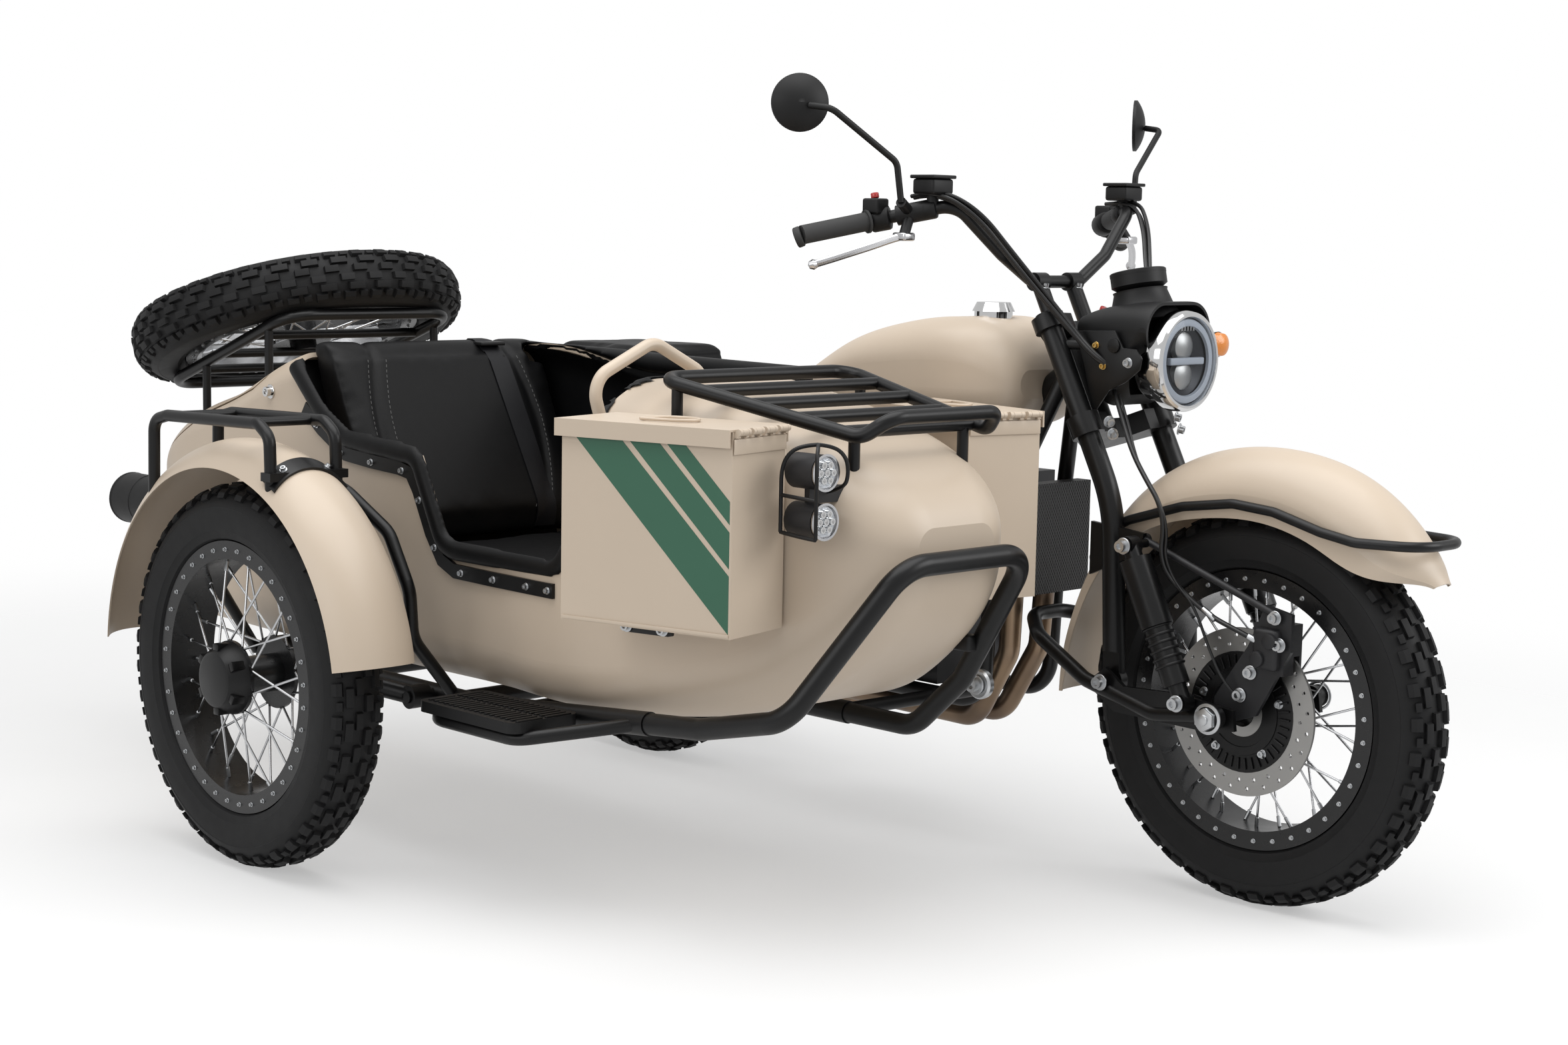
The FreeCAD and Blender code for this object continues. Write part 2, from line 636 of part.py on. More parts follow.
def on_bar(run, share):
    """A point on a straight run of the handlebar's left half."""
    return vec(BAR_POINTS[run]) * (1 - share) + vec(BAR_POINTS[run + 1]) * share


def bar():
    return tube(hoop(BAR_POINTS), BAR_RADIUS, 45)


def handlebar():
    risers = []
    for side in (-1, 1):
        foot = Part.makeCylinder(RISER_RADIUS, RISER_HEIGHT,
                                 V(RISER_OFFSET, side * RISER_SPREAD, YOKE_WALL + SEAT_GAP), Z_AXIS)
        cap = Part.makeCylinder(BAR_RADIUS + 5, 30, vec(BAR_POINTS[-1]) + V(0, -32, 0), Y_AXIS)
        risers += [on_steering(foot, UPPER_YOKE), cap if side > 0 else mirror_y(cap)]
    return fuse([bar()] + risers)


def grips():
    grip = rod(on_bar(0, -0.03), on_bar(0, 0.84), 16)
    flange = rod(on_bar(0, 0.84), on_bar(0, 0.87), 20)
    grip = fuse([grip, flange]).cut(rod(on_bar(0, 0), on_bar(0, 1), BAR_RADIUS))
    return Part.makeCompound(both_sides(grip))


LEVER_PIVOT = (963, 302, 1076)
MIRROR_FOOT = (966, 314, 1132)
MIRROR_CENTRE = (862, 451, 1291)


@functools.cache
def controls():
    """The clamp on each side of the bar that carries the lever and the mirror."""
    clamp = rod(on_bar(1, 0.25), on_bar(1, 0.6), 17)
    middle = on_bar(1, 0.42)
    lever_arm = rod(middle, LEVER_PIVOT, 9)
    mirror_arm = rod(middle, MIRROR_FOOT, 9)
    solid = fuse([clamp, lever_arm, mirror_arm]).cut(bar())
    return Part.makeCompound(both_sides(solid))


def levers():
    lever = tube([LEVER_PIVOT, (940, 350, 1060), (880, 425, 1028)], 6, 60)
    knob = Part.makeSphere(9, V(878, 427, 1027))
    clamp = controls().Solids[0]
    return Part.makeCompound(both_sides(largest(fuse([lever, knob]).cut(clamp))))


def mirrors():
    facing = V(-0.83, -0.56, 0).normalize()
    centre = vec(MIRROR_CENTRE)
    stem = tube([MIRROR_FOOT, (962, 322, 1197), (925, 441, 1281), (884, 450, 1286)], 5.5, 22)
    head = Part.makeCylinder(MIRROR_RADIUS, 6, centre, facing)
    cap = dome(centre, facing * -1, MIRROR_RADIUS, MIRROR_DOME)
    clamp = controls().Solids[0]
    return Part.makeCompound(both_sides(largest(fuse([stem, head, cap]).cut(clamp))))


def front_caliper():
    y = -LINK_SPREAD + 28
    plate = profile_xz([(1480, 300), (1560, 330), (1620, 440), (1620, 500), (1570, 510), (1540, 440),
                        (1480, 350)], y - 4, y + 4)
    bore = across(WHEELBASE, y, TYRE_RADIUS, AXLE_RADIUS + SEAT_GAP, 40)
    caliper = block(1550, 1608, y - 4, y + 46, 400, 480)
    disc_slot = across(WHEELBASE, -DISC_OFFSET, TYRE_RADIUS, DISC_RADIUS + 6, 16)
    torque_rod = rod((1330, y - 5, 589), (1596, y - 5, 495), 6)
    anchor = across(1330, y - 2, 589, 10, 8)
    brake = fuse([plate, caliper.cut(disc_slot), torque_rod, anchor])
    return largest(brake.cut(bore).cut(fork()).cut(fender_loop()))


# Sidecar body

BODY_STATIONS = [
    (-524, 205, 450, 586, 40, 60), (-494, 240, 380, 638, 44, 70), (-440, 262, 335, 676, 46, 78),
    (-340, 273, 314, 724, 48, 80), (-100, 276, 312, 811, 50, 80), (0, 276, 312, 846, 52, 80),
    (300, 276, 312, 848, 90, 80), (600, 276, 312, 846, 140, 80), (860, 275, 314, 840, 172, 84),
    (1000, 247, 326, 822, 158, 92), (1120, 219, 352, 795, 130, 96), (1214, 193, 400, 765, 104, 100),
    (1292, 164, 462, 732, 90, 96), (1342, 124, 528, 692, 66, 72), (1363, 84, 582, 652, 32, 32)]


@functools.cache
def body_loft(inset):
    wires = []
    for x, half, low, high, top_radius, low_radius in BODY_STATIONS:
        if x == BODY_STATIONS[0][0]:
            x += inset
        if x == BODY_STATIONS[-1][0]:
            x -= inset
        wires.append(rounded_section(x, half - inset, low + inset, high - inset, top_radius - inset,
                                     low_radius - inset, BODY_Y))
    return Part.makeLoft(wires, True, False)


def cockpit_cut():
    side = profile_xz([(-22, 900), (8, 822), (110, 742), (184, 705), (392, 692), (462, 556), (500, 540),
                       (770, 540), (812, 590), (818, 700), (822, 900)], BODY_Y - 400, BODY_Y + 236)
    return side


def lid_region(gap):
    """The block above the boot seam, which rises along the flank and turns up in front."""
    outline = [(-95 + gap, 930), (-95 + gap, 826), (-104 + gap, 800 - gap), (-135, 776 - gap),
               (-294, 724 - gap), (-455 - gap, 642 - gap), (-455 - gap, 860)]
    return profile_xz(outline, BODY_Y - 300, BODY_Y + 300)


def body_shell():
    return body_loft(0.0).cut(body_loft(BODY_WALL))


def body_lengths(shell):
    """The moulded body in three lengths: the tail with the boot, the tub round the seat and the nose."""
    body = shell.cut(cockpit_cut()).cut(lid_region(RUNNING_GAP - 1))
    low, high = BODY_Y - 400, BODY_Y + 400
    tail = largest(body.common(block(-700, TAIL_JOIN_X, low, high, 200, 1000)))
    tub = largest(body.common(block(TAIL_JOIN_X, NOSE_JOIN_X, low, high, 200, 1000)))
    nose = largest(body.common(block(NOSE_JOIN_X, 1500, low, high, 200, 1000)))
    leaves = []
    for y in boot_hinge_places():
        pin = across(BOOT_HINGE_X, y, BOOT_HINGE_HEIGHT, BOOT_PIN_RADIUS, 2 * BOOT_BARREL)
        leaves += [boot_leaf(y + BOOT_BARREL / 2, -1), pin]
    return fuse([tail] + leaves), tub, nose


def bulkhead():
    """The sloping wall between the seat and the boot."""
    wall = profile_xz([(-34, 850), (-26, 850), (150, 320), (142, 320)], BODY_Y - 300, BODY_Y + 300)
    return largest(wall.common(body_loft(BODY_WALL)).cut(lid_region(RUNNING_GAP)))


def boot_hinge_places():
    return [BODY_Y - BOOT_HINGE_SPREAD, BODY_Y + BOOT_HINGE_SPREAD]


def boot_leaf(y, toward):
    """Half of a boot hinge: its barrel and the leaf towards the tail (-1) or the lid (1)."""
    x = BOOT_HINGE_X
    z = BOOT_HINGE_HEIGHT
    half = (BOOT_BARREL - SEAT_GAP) / 2
    barrel = across(x, y, z, BOOT_BARREL_RADIUS, 2 * half)
    if toward < 0:
        leaf = profile_xz([(x, z + 5), (x - 36, z - 34), (x - 30, z - 46), (x - 6, z - 16), (x, z - 5)],
                          y - half, y + half)
    else:
        leaf = profile_xz([(x, z + 5), (x + 44, z + 14), (x + 44, z - 2), (x, z - 5)], y - half, y + half)
    return fuse([barrel, leaf])


def boot_lid(shell):
    lid = largest(shell.common(lid_region(0.0)))
    for y in boot_hinge_places():
        pin = across(BOOT_HINGE_X, y, BOOT_HINGE_HEIGHT, BOOT_PIN_RADIUS + SEAT_GAP, 4 * BOOT_BARREL)
        lid = fuse([lid, boot_leaf(y - BOOT_BARREL / 2, 1)]).cut(pin)
    return lid


def rim_roll(radius):
    """The soft roll round the cockpit's edge, as one round bar."""
    near = BODY_Y - BODY_HALF_WIDTH + 3
    far = BODY_Y + 236
    path = [(20, near, 828), (110, near, 745), (184, near, 706), (392, near, 692), (466, near, 552),
            (500, near, 542), (770, near, 542), (808, near, 592), (818, near + 12, 760),
            (820, near + 120, 826), (820, far - 60, 836), (806, far, 832), (500, far, 836), (20, far, 842)]
    return tube(path, radius, 40)


def cockpit_rim():
    return rim_roll(ROLL_RADIUS).cut(body_loft(0.0))


def seat_back(rim, walls):
    back = profile_xz([(-3, 862), (12, 872), (40, 870), (70, 842), (196, 560), (190, 505.3), (134, 505.3)],
                      BODY_Y - 236, BODY_Y + 252)
    return largest(back.cut([rim] + walls))


def seat_cushion():
    pad = block(158, 620, BODY_Y - 250, BODY_Y + 250, 400, 505)
    pad = pad.makeFillet(30, [edge for edge in pad.Edges if edge.BoundBox.ZMin > 450])
    base = block(180, 600, BODY_Y - 190, BODY_Y + 190, BODY_FLOOR, 400)
    return fuse([pad, base.common(body_loft(BODY_WALL + SEAT_GAP))])


# Boxes on the nose, each in its own frame: x from the front face backwards, y from the outer face inwards

def place_box(shape, side):
    """Puts a box shape at the near (-1) or far (1) flank; the far one is the mirror image."""
    shape.rotate(V(0, 0, 0), Z_AXIS, BOX_TOE_DEG)
    shape.translate(V(BOX_CORNER_X, BOX_CORNER_Y, 0))
    return shape if side < 0 else mirror_y(shape, BODY_Y)


def carry_box(side):
    outer = block(-BOX_LENGTH, 0, 0, BOX_WIDTH, BOX_FLOOR, BOX_TOP - BOX_WALL - SEAT_GAP)
    inner = block(-BOX_LENGTH + BOX_WALL, -BOX_WALL, BOX_WALL, BOX_WIDTH - BOX_WALL,
                  BOX_FLOOR + BOX_WALL, BOX_TOP)
    height = BOX_TOP - LID_HINGE_DROP
    hinges = []
    for y in box_hinge_places():
        for start in (y - 14, y + 7.5):
            leaf = block(-1, LID_HINGE_X, start, start + 6.5, height - 8, height - 2)
            barrel = across(LID_HINGE_X, start + 3.25, height, LID_BARREL_RADIUS, 6.5)
            hinges += [leaf, barrel]
        hinges.append(across(LID_HINGE_X, y, height, LID_PIN_RADIUS, 28))
    return place_box(fuse([outer.cut(inner)] + hinges), side)


def box_hinge_places():
    return [BOX_WIDTH * (k + 0.5) / LID_HINGE_COUNT for k in range(LID_HINGE_COUNT)]


def box_bracket(side):
    """Two bars that carry a box on the flank of the body."""
    bars = [block(-BOX_LENGTH + 40, -40, BOX_WIDTH + SEAT_GAP, BOX_WIDTH + 60, z, z + 24) for z in (510, 700)]
    return [place_box(bar, side).cut(body_loft(0.0)) for bar in bars]


def box_lid(side):
    """A flat lid with a skirt on three sides; its front edge is carried by the hinges."""
    rim = LID_OVERHANG + RUNNING_GAP
    height = BOX_TOP - LID_HINGE_DROP
    outer = block(-BOX_LENGTH - rim, 0, -rim, BOX_WIDTH + rim, BOX_TOP - LID_SKIRT, BOX_TOP)
    inner = block(-BOX_LENGTH - rim + BOX_WALL, BOX_WALL, -rim + BOX_WALL, BOX_WIDTH + rim - BOX_WALL,
                  BOX_TOP - LID_SKIRT - 10, BOX_TOP - BOX_WALL)
    lid = outer.cut(inner)
    for y in box_hinge_places():
        barrel = across(LID_HINGE_X, y, height, LID_BARREL_RADIUS, 14)
        leaf = block(-6, LID_HINGE_X, y - 7, y + 7, BOX_TOP - BOX_WALL, BOX_TOP)
        pin = across(LID_HINGE_X, y, height, LID_PIN_RADIUS + SEAT_GAP, 16)
        lid = fuse([lid, barrel, leaf]).cut(pin)
    return place_box(lid, side)


RACK_REAR_X = 925.0
RACK_FRONT_X = 1295.0
RACK_REAR = 852.0
RACK_FRONT = 784.0
RACK_REAR_HALF = 212.0
RACK_FRONT_HALF = 140.0


def rack_line(x):
    """Half width and height of the rack's rail at x."""
    share = (x - RACK_REAR_X) / (RACK_FRONT_X - RACK_REAR_X)
    return (RACK_REAR_HALF + share * (RACK_FRONT_HALF - RACK_REAR_HALF),
            RACK_REAR + share * (RACK_FRONT - RACK_REAR))


def nose_rack():
    rail = tube(hoop([(RACK_REAR_X, BODY_Y + RACK_REAR_HALF, RACK_REAR),
                      (RACK_FRONT_X, BODY_Y + RACK_FRONT_HALF, RACK_FRONT),
                      (1334, BODY_Y + 116, 815)], BODY_Y), 11, 36, True)
    bars = []
    for x in (1010, 1095, 1180, 1262):
        half, height = rack_line(x)
        bars.append(rod((x, BODY_Y - half, height), (x, BODY_Y + half, height), 10))
    for x, inward in ((962, 2), (1262, 26)):
        half, height = rack_line(x)
        for side in (-1, 1):
            y = BODY_Y + side * (half - inward)
            bars.append(rod((x, y, height - 90), (x, y, height), 9))
    return largest(fuse([rail] + bars).cut(body_loft(0.0)))


def grab_arch():
    arch = tube([(856, -858, 760), (856, -886, 846), (856, -760, 904), (856, -668, 858),
                 (856, -610, 800)], 10, 40)
    return largest(arch.cut(body_loft(0.0)))


def spot_lamps():
    upper = rod((1246, -822, 738), (1300, -822, 738), 26)
    lower = rod((1246, -822, 667), (1300, -822, 667), 26)
    bracket = block(1262, 1272, -822, -700, 690, 714)
    return largest(fuse([upper, lower, bracket]).cut(body_loft(0.0)))


def bumper():
    return tube([(985 + SEAT_GAP, -870, 326.03), (1100, -870.5, 336.3), (1281, -869, 377), (1390, -742, 604),
                 (1390, -466, 604), (1235, -434, 382), (1130, -430, 288), (985 + SEAT_GAP, -430, 288)],
                17, 70)


@functools.cache
def sidecar_frame():
    side = FRAME_HALF_WIDTH
    outer = tube([(-140, -700, 288), (-140, -868, 288), (560, -868, 288), (985, -870, 326)], 19, 60)
    inner = tube([(-140, -700, 288), (-140, -430, 288), (985, -430, 288)], 19, 60)
    cross = [rod((x, -868, 288), (x, -430, 288), 16) for x in (160, 500, 640)]
    lower_front = rod((965, -430, 288), (985, -side, 288), 12)
    lower_rear = rod((500, -430, 288), (500, -side, 296), 12)
    step_loop = tube([(575, -876, 294), (615, -1012, 296), (835, -1012, 296), (960, -874, 322)], 11, 50)
    pin = rod((440, -870, 292), (440, -936, 292), 10)
    front_stay = tube([(490, -870, 292), (486, -956, 400), (484, -960, 480), (428, -962, 572),
                       (340, -985, 634), (262, -1040, 682)], 11, 60)
    rear_stay = tube([(-120, -874, 290), (-84, -960, 400), (-50, -1036, 502)], 10, 60)
    pads = [rod((x, y, 288), (x, y, 340), 15) for x in (160, 640) for y in (BODY_Y - 110, BODY_Y + 110)]
    members = [outer, inner] + cross + [lower_front, lower_rear, step_loop, pin, front_stay, rear_stay]
    solid = largest(fuse(members + pads).cut(body_loft(0.0)))
    return largest(largest(solid.cut(sidecar_fender())).cut(frame()))


def sidecar_arm():
    arm = tube([(440, -916, 292), (380, -940, 300), (SIDECAR_LEAD + 60, -1000, 318),
                (SIDECAR_LEAD, -1010, TYRE_RADIUS)], 16, 80)
    eye = across(440, -914, 292, 20, 36)
    axle = across(SIDECAR_LEAD, -1090, TYRE_RADIUS, AXLE_RADIUS, 184)
    hole = across(440, -914, 292, 10 + SEAT_GAP, 60)
    return fuse([arm, eye, axle]).cut(hole)


@functools.cache
def sidecar_fender():
    return fender_arc(SIDECAR_LEAD, -SIDECAR_TRACK, TYRE_RADIUS, 78, 352, 398, -86, 80)


def fender_rack():
    outer = -SIDECAR_TRACK - 62
    inner = -SIDECAR_TRACK + 62
    hoops = []
    for y in (outer, inner):
        hoops.append(tube([(42, y, 560), (46, y, 742), (90, y, 752), (372, y, 758), (404, y, 738),
                           (410, y, 600)], 10, 26))
    bars = [rod((x, outer, z), (x, inner, z), 8) for x, z in ((110, 752.5), (340, 757))]
    shoe = block(396, 424, outer - 12, inner + 12, 668, 682)
    return largest(fuse(hoops + bars + [shoe]).cut(sidecar_fender()).cut(fender_hollow()))


def fender_hollow():
    """The space under the sidecar fender."""
    return across(SIDECAR_LEAD, -SIDECAR_TRACK, TYRE_RADIUS, 353, 156)


def step_plate():
    plate = block(600, 848, -1030, -895, 307 + SEAT_GAP, 325)
    plate = plate.makeFillet(18, [edge for edge in plate.Edges if abs(edge.tangentAt(0).z) > 0.9])
    return largest(plate.cut(sidecar_frame()))


def sidecar_lamp():
    return largest(rod((-635, -838, 524), (-470, -838, 524), 50).cut(body_loft(0.0)))


# Spare wheel on the boot lid

SPARE_CENTRE = V(-395, -600, 885)
SPARE_TILT_DEG = 19.5


def over_boot(shape):
    """Tilts and lifts a shape that was built about the spare wheel's centre, with its axle along Z."""
    shape.rotate(V(0, 0, 0), Y_AXIS, -SPARE_TILT_DEG)
    shape.translate(SPARE_CENTRE)
    return shape


def lay_spare(shape):
    shape.rotate(V(0, 0, 0), X_AXIS, 90)
    return over_boot(shape)


def spare_rack():
    level = -TYRE_WIDTH / 2 - SEAT_GAP - 11
    hub_end = HUB_WIDTH / 2 + SEAT_GAP
    rail = tube(hoop([(-210, 190, level), (250, 190, level)]), 11, 60, True)
    slats = [rod((x, -190, level), (x, 190, level), 9) for x in (-110, 0, 120)]
    foot = rod((0, 0, level), (0, 0, -hub_end), 26)
    spindle = rod((0, 0, level), (0, 0, hub_end + 16), AXLE_RADIUS)
    nut = rod((0, 0, hub_end), (0, 0, hub_end + 14), 24)
    carrier = over_boot(fuse([rail] + slats + [foot, spindle, nut]))
    tilt = math.radians(SPARE_TILT_DEG)
    posts = []
    for x in (-55, 180):
        head = SPARE_CENTRE + V(x * math.cos(tilt) - level * math.sin(tilt), 0,
                                x * math.sin(tilt) + level * math.cos(tilt))
        for side in (-1, 1):
            posts.append(rod((head.x, BODY_Y + side * 190, 640), (head.x, BODY_Y + side * 190, head.z), 8))
    return largest(fuse([carrier] + posts).cut(body_loft(0.0)))


def write(name, shape):
    shape = shape.copy()
    shape.translate(V(-ORIGIN_X, -ORIGIN_Y, 0))
    shape.exportStep("parts/" + name + ".step")


# Middle of the footprint, seen from above
ORIGIN_X = 564.0
ORIGIN_Y = -350.0


def main():
    os.makedirs("parts", exist_ok=True)
    ring = tyre()
    wire = wire_rim()
    centres = {"front": V(WHEELBASE, 0, TYRE_RADIUS), "rear": V(0, 0, TYRE_RADIUS),
               "sidecar": V(SIDECAR_LEAD, -SIDECAR_TRACK, TYRE_RADIUS)}
    for name, centre in centres.items():
        for piece, shape in (("tyre", ring), ("wheel", wire)):
            placed = shape.copy()
            placed.translate(centre)
            write(name + "_" + piece, placed)
    write("front_disc", brake_disc(centres["front"], -1))
    write("rear_disc", brake_disc(centres["rear"], 1))
    write("spare_tyre", lay_spare(ring.copy()))
    write("spare_wheel", lay_spare(wire.copy()))
    shell = body_shell()
    tail, tub, nose = body_lengths(shell)
    pieces = {
        "frame": frame(), "engine": engine(), "radiator": radiator(), "exhaust": exhaust(),
        "fuel_tank": fuel_tank(), "fuel_cap": fuel_cap().cut(fuel_tank()), "saddle": saddle(),
        "pillion_pad": pillion_pad(),
        "rear_suspension": rear_suspension(), "rear_fender": rear_fender(), "tail_lamp": tail_lamp(),
        "fork": fork(), "link_arms": link_arms(), "fork_shocks": fork_shocks(),
        "front_fender": front_fender(), "fender_loop": fender_loop(), "nacelle": nacelle(),
        "headlamp": headlamp(), "instrument": instrument(), "handlebar": handlebar(), "grips": grips(),
        "controls": controls(), "levers": levers(), "mirrors": mirrors(), "front_caliper": front_caliper(),
        "tail": tail, "tub": tub, "nose": nose, "bulkhead": bulkhead(),
        "boot_lid": boot_lid(shell), "cockpit_rim": cockpit_rim(),
        "seat_back": seat_back(rim_roll(ROLL_RADIUS + SEAT_GAP), [tail, tub]),
        "seat_cushion": seat_cushion(),
        "box_brackets": Part.makeCompound(box_bracket(-1) + box_bracket(1)),
        "near_box": carry_box(-1), "near_box_lid": box_lid(-1),
        "far_box": carry_box(1), "far_box_lid": box_lid(1),
        "nose_rack": nose_rack(), "grab_arch": grab_arch(), "spot_lamps": spot_lamps(),
        "bumper": bumper(), "sidecar_frame": sidecar_frame(), "sidecar_arm": sidecar_arm(),
        "sidecar_fender": sidecar_fender(), "fender_rack": fender_rack(), "step_plate": step_plate(),
        "sidecar_lamp": sidecar_lamp(), "spare_rack": spare_rack(),
    }
    for name, shape in pieces.items():
        write(name, shape)
        print(name, shape.isValid(), len(shape.Solids), round(shape.Volume / 1e6, 3))


main()
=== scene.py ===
"""Dresses the sidecar outfit: finishes, tread, padding, brackets, bolts, cables, lamps, stage and camera."""
import math

import bpy
from mathutils import Matrix, Vector


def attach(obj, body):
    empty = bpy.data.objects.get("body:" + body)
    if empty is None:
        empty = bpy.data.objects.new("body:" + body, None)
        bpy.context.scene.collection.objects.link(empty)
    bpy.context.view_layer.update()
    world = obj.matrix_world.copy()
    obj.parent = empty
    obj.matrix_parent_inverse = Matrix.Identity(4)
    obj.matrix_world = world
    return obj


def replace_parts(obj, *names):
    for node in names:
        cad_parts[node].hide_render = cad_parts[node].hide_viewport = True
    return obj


bl_info = {
    "name": "Sidecar outfit dressing",
    "version": (1, 0, 0),
    "blender": (4, 5, 0),
    "location": "3D View > Sidebar > Outfit",
    "description": "Adds the finishes and fine pieces of a sidecar outfit to its frame",
    "category": "Object",
}

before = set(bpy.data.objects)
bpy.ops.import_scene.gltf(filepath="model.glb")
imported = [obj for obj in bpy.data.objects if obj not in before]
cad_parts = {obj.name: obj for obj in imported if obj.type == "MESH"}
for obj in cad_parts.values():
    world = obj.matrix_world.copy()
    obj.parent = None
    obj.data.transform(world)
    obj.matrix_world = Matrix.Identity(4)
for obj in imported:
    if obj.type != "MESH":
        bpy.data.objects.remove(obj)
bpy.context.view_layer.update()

MM = 0.001
# The middle of the footprint, in millimetres from the rear wheel's contact point
ORIGIN = Vector((564.0, -350.0, 0.0))
TURN = 2 * math.pi

TYRE_RADIUS = 325.0
WHEEL_PLACES = {"front": (1510, 0), "rear": (0, 0), "sidecar": (255, -1113)}
# The body that each wheel rides on
ROLLERS = {"front": "front_roller", "rear": "rear_roller", "sidecar": "sidecar_roller", "spare": "boot"}
SPARE_CENTRE = (-395, -600, 885)
SPARE_TILT = math.radians(19.5)
RIM_INNER = 198.0
HUB_FLANGE = 63.5
# Middle plane of the sidecar's body, and the plane of its near flank
BODY_Y = -600
FLANK_Y = -876.2
# The near box: its outer front corner, and how far it toes in
BOX_CORNER = (1234.0, -940.0)
BOX_TOE = math.radians(13.3)
# Centre of the headlamp's rim
LAMP = (1334.0, 0.0, 879.0)
AHEAD = (1, 0, 0)


def at(x, y, z):
    """A place in the frame, in metres, from millimetres in the outfit's own layout."""
    return (Vector((x, y, z)) - ORIGIN) * MM


def linear(code):
    """A linear colour from a hex code."""
    parts = [int(code[k:k + 2], 16) / 255 for k in (0, 2, 4)]
    return tuple(c / 12.92 if c <= 0.04045 else ((c + 0.055) / 1.055) ** 2.4 for c in parts) + (1.0,)


# Sizes and colours that a user would change

def colour_property(name, code, text):
    return bpy.props.FloatVectorProperty(name=name, description=text, subtype="COLOR", size=4,
                                         min=0.0, max=1.0, default=linear(code))


def length_property(name, millimetres, text):
    return bpy.props.FloatProperty(name=name, description=text, default=millimetres * MM,
                                   unit="LENGTH", subtype="DISTANCE")


class OutfitColours(bpy.types.PropertyGroup):
    sand: colour_property("Body paint", "c6b6a3", "Satin sand paint of the body panels")
    stripe: colour_property("Stripes", "2f5f49", "Green of the stripes on the near box")
    black: colour_property("Black paint", "09090a", "Satin black of the tubes and forgings")
    leather: colour_property("Covers", "070708", "Black synthetic leather of seats and padding")
    rubber: colour_property("Rubber", "101011", "Tyres and grips")
    amber: colour_property("Indicators", "d9822b", "Amber lenses")
    red: colour_property("Red", "b3201c", "Tail lenses and the stop switch")


class OutfitSizes(bpy.types.PropertyGroup):
    lug: length_property("Tread depth", 8.0, "Height of the tread blocks above the carcass")
    bolt: length_property("Bolt head", 6.5, "Radius of an ordinary bolt head")
    rim_bolt: length_property("Rim bolt", 2.7, "Radius of the small bolts round the rims")
    stripe_lift: length_property("Stripe thickness", 0.3, "Thickness of the stripe film")
    cable: length_property("Cable", 3.6, "Radius of the control cables")
    pad_swell: length_property("Padding swell", 7.0, "Most that padding swells out of its plain form")


def colours():
    return bpy.context.scene.outfit_colours


def sizes():
    return bpy.context.scene.outfit_sizes


# Materials

def add_node(tree, kind, inputs=None, **settings):
    """Adds a shader node with its settings. An input is a number, a colour or another node's output."""
    item = tree.nodes.new("ShaderNode" + kind)
    for key, value in settings.items():
        setattr(item, key, value)
    for key, value in (inputs or {}).items():
        if isinstance(value, bpy.types.NodeSocket):
            tree.links.new(value, item.inputs[key])
        else:
            item.inputs[key].default_value = value
    return item


def maths(tree, operation, first, second=0.0):
    return add_node(tree, "Math", {0: first, 1: second}, operation=operation).outputs[0]


def vectors(tree, operation, first, second):
    return add_node(tree, "VectorMath", {0: first, 1: second}, operation=operation).outputs[0]


def length(tree, vector):
    return add_node(tree, "VectorMath", {0: vector}, operation="LENGTH").outputs["Value"]


def tint(colour, share):
    return tuple(min(1.0, c * share) for c in colour[:3]) + (1.0,)


def mix_colours(tree, factor, first, second):
    return add_node(tree, "Mix", {0: factor, 6: first, 7: second}, data_type="RGBA").outputs[2]


def noise(tree, where, size_mm, detail=3.0, stretch=None):
    if stretch:
        where = vectors(tree, "MULTIPLY", where, stretch)
    return add_node(tree, "TexNoise",
                    {"Vector": where, "Scale": 1 / (size_mm * MM), "Detail": detail}).outputs[0]


def finish_shader(tree, colour, roughness, metallic=0.0, coat=0.0, grain_mm=1.2, grain_depth_mm=0.02,
                  mottle_mm=90.0, mottle=0.05, spread=0.06, stretch=None, cells=False, specular=0.5):
    """A principled shader with uneven tone, uneven gloss and a fine grain, all from object coordinates."""
    where = object_place(tree)
    broad = noise(tree, where, mottle_mm)
    if isinstance(colour, bpy.types.NodeSocket):
        base = mix_colours(tree, maths(tree, "MULTIPLY", broad, mottle), colour, (0.5, 0.5, 0.5, 1.0))
    else:
        base = mix_colours(tree, broad, tint(colour, 1 - mottle), tint(colour, 1 + mottle))
    gloss = add_node(tree, "MapRange", {0: noise(tree, where, mottle_mm / 3),
                                        3: roughness - spread, 4: roughness + spread}).outputs[0]
    if cells:
        grain = add_node(tree, "TexVoronoi", {"Vector": where, "Scale": 1 / (grain_mm * MM)},
                         feature="F1").outputs["Distance"]
    else:
        grain = noise(tree, where, grain_mm, 4.0, stretch)
    bump = add_node(tree, "Bump", {"Strength": 0.6, "Distance": grain_depth_mm * MM, "Height": grain})
    return add_node(tree, "BsdfPrincipled",
                    {"Base Color": base, "Roughness": gloss, "Metallic": metallic, "Coat Weight": coat,
                     "Coat Roughness": 0.25, "Specular IOR Level": specular,
                     "Normal": bump.outputs[0]}).outputs[0]


def new_material(name):
    """A material without nodes, its tree, and object coordinates in it."""
    made = bpy.data.materials.new(name)
    made.use_nodes = True
    made.node_tree.nodes.clear()
    return made, made.node_tree, object_place(made.node_tree)


def object_place(tree):
    return add_node(tree, "TexCoord").outputs["Object"]


def closed(made, shader):
    """Ends a material with its shader."""
    add_node(made.node_tree, "OutputMaterial", {0: shader})
    return made


def mix_shaders(tree, factor, first, second):
    return add_node(tree, "MixShader", {0: factor, 1: first, 2: second}).outputs[0]


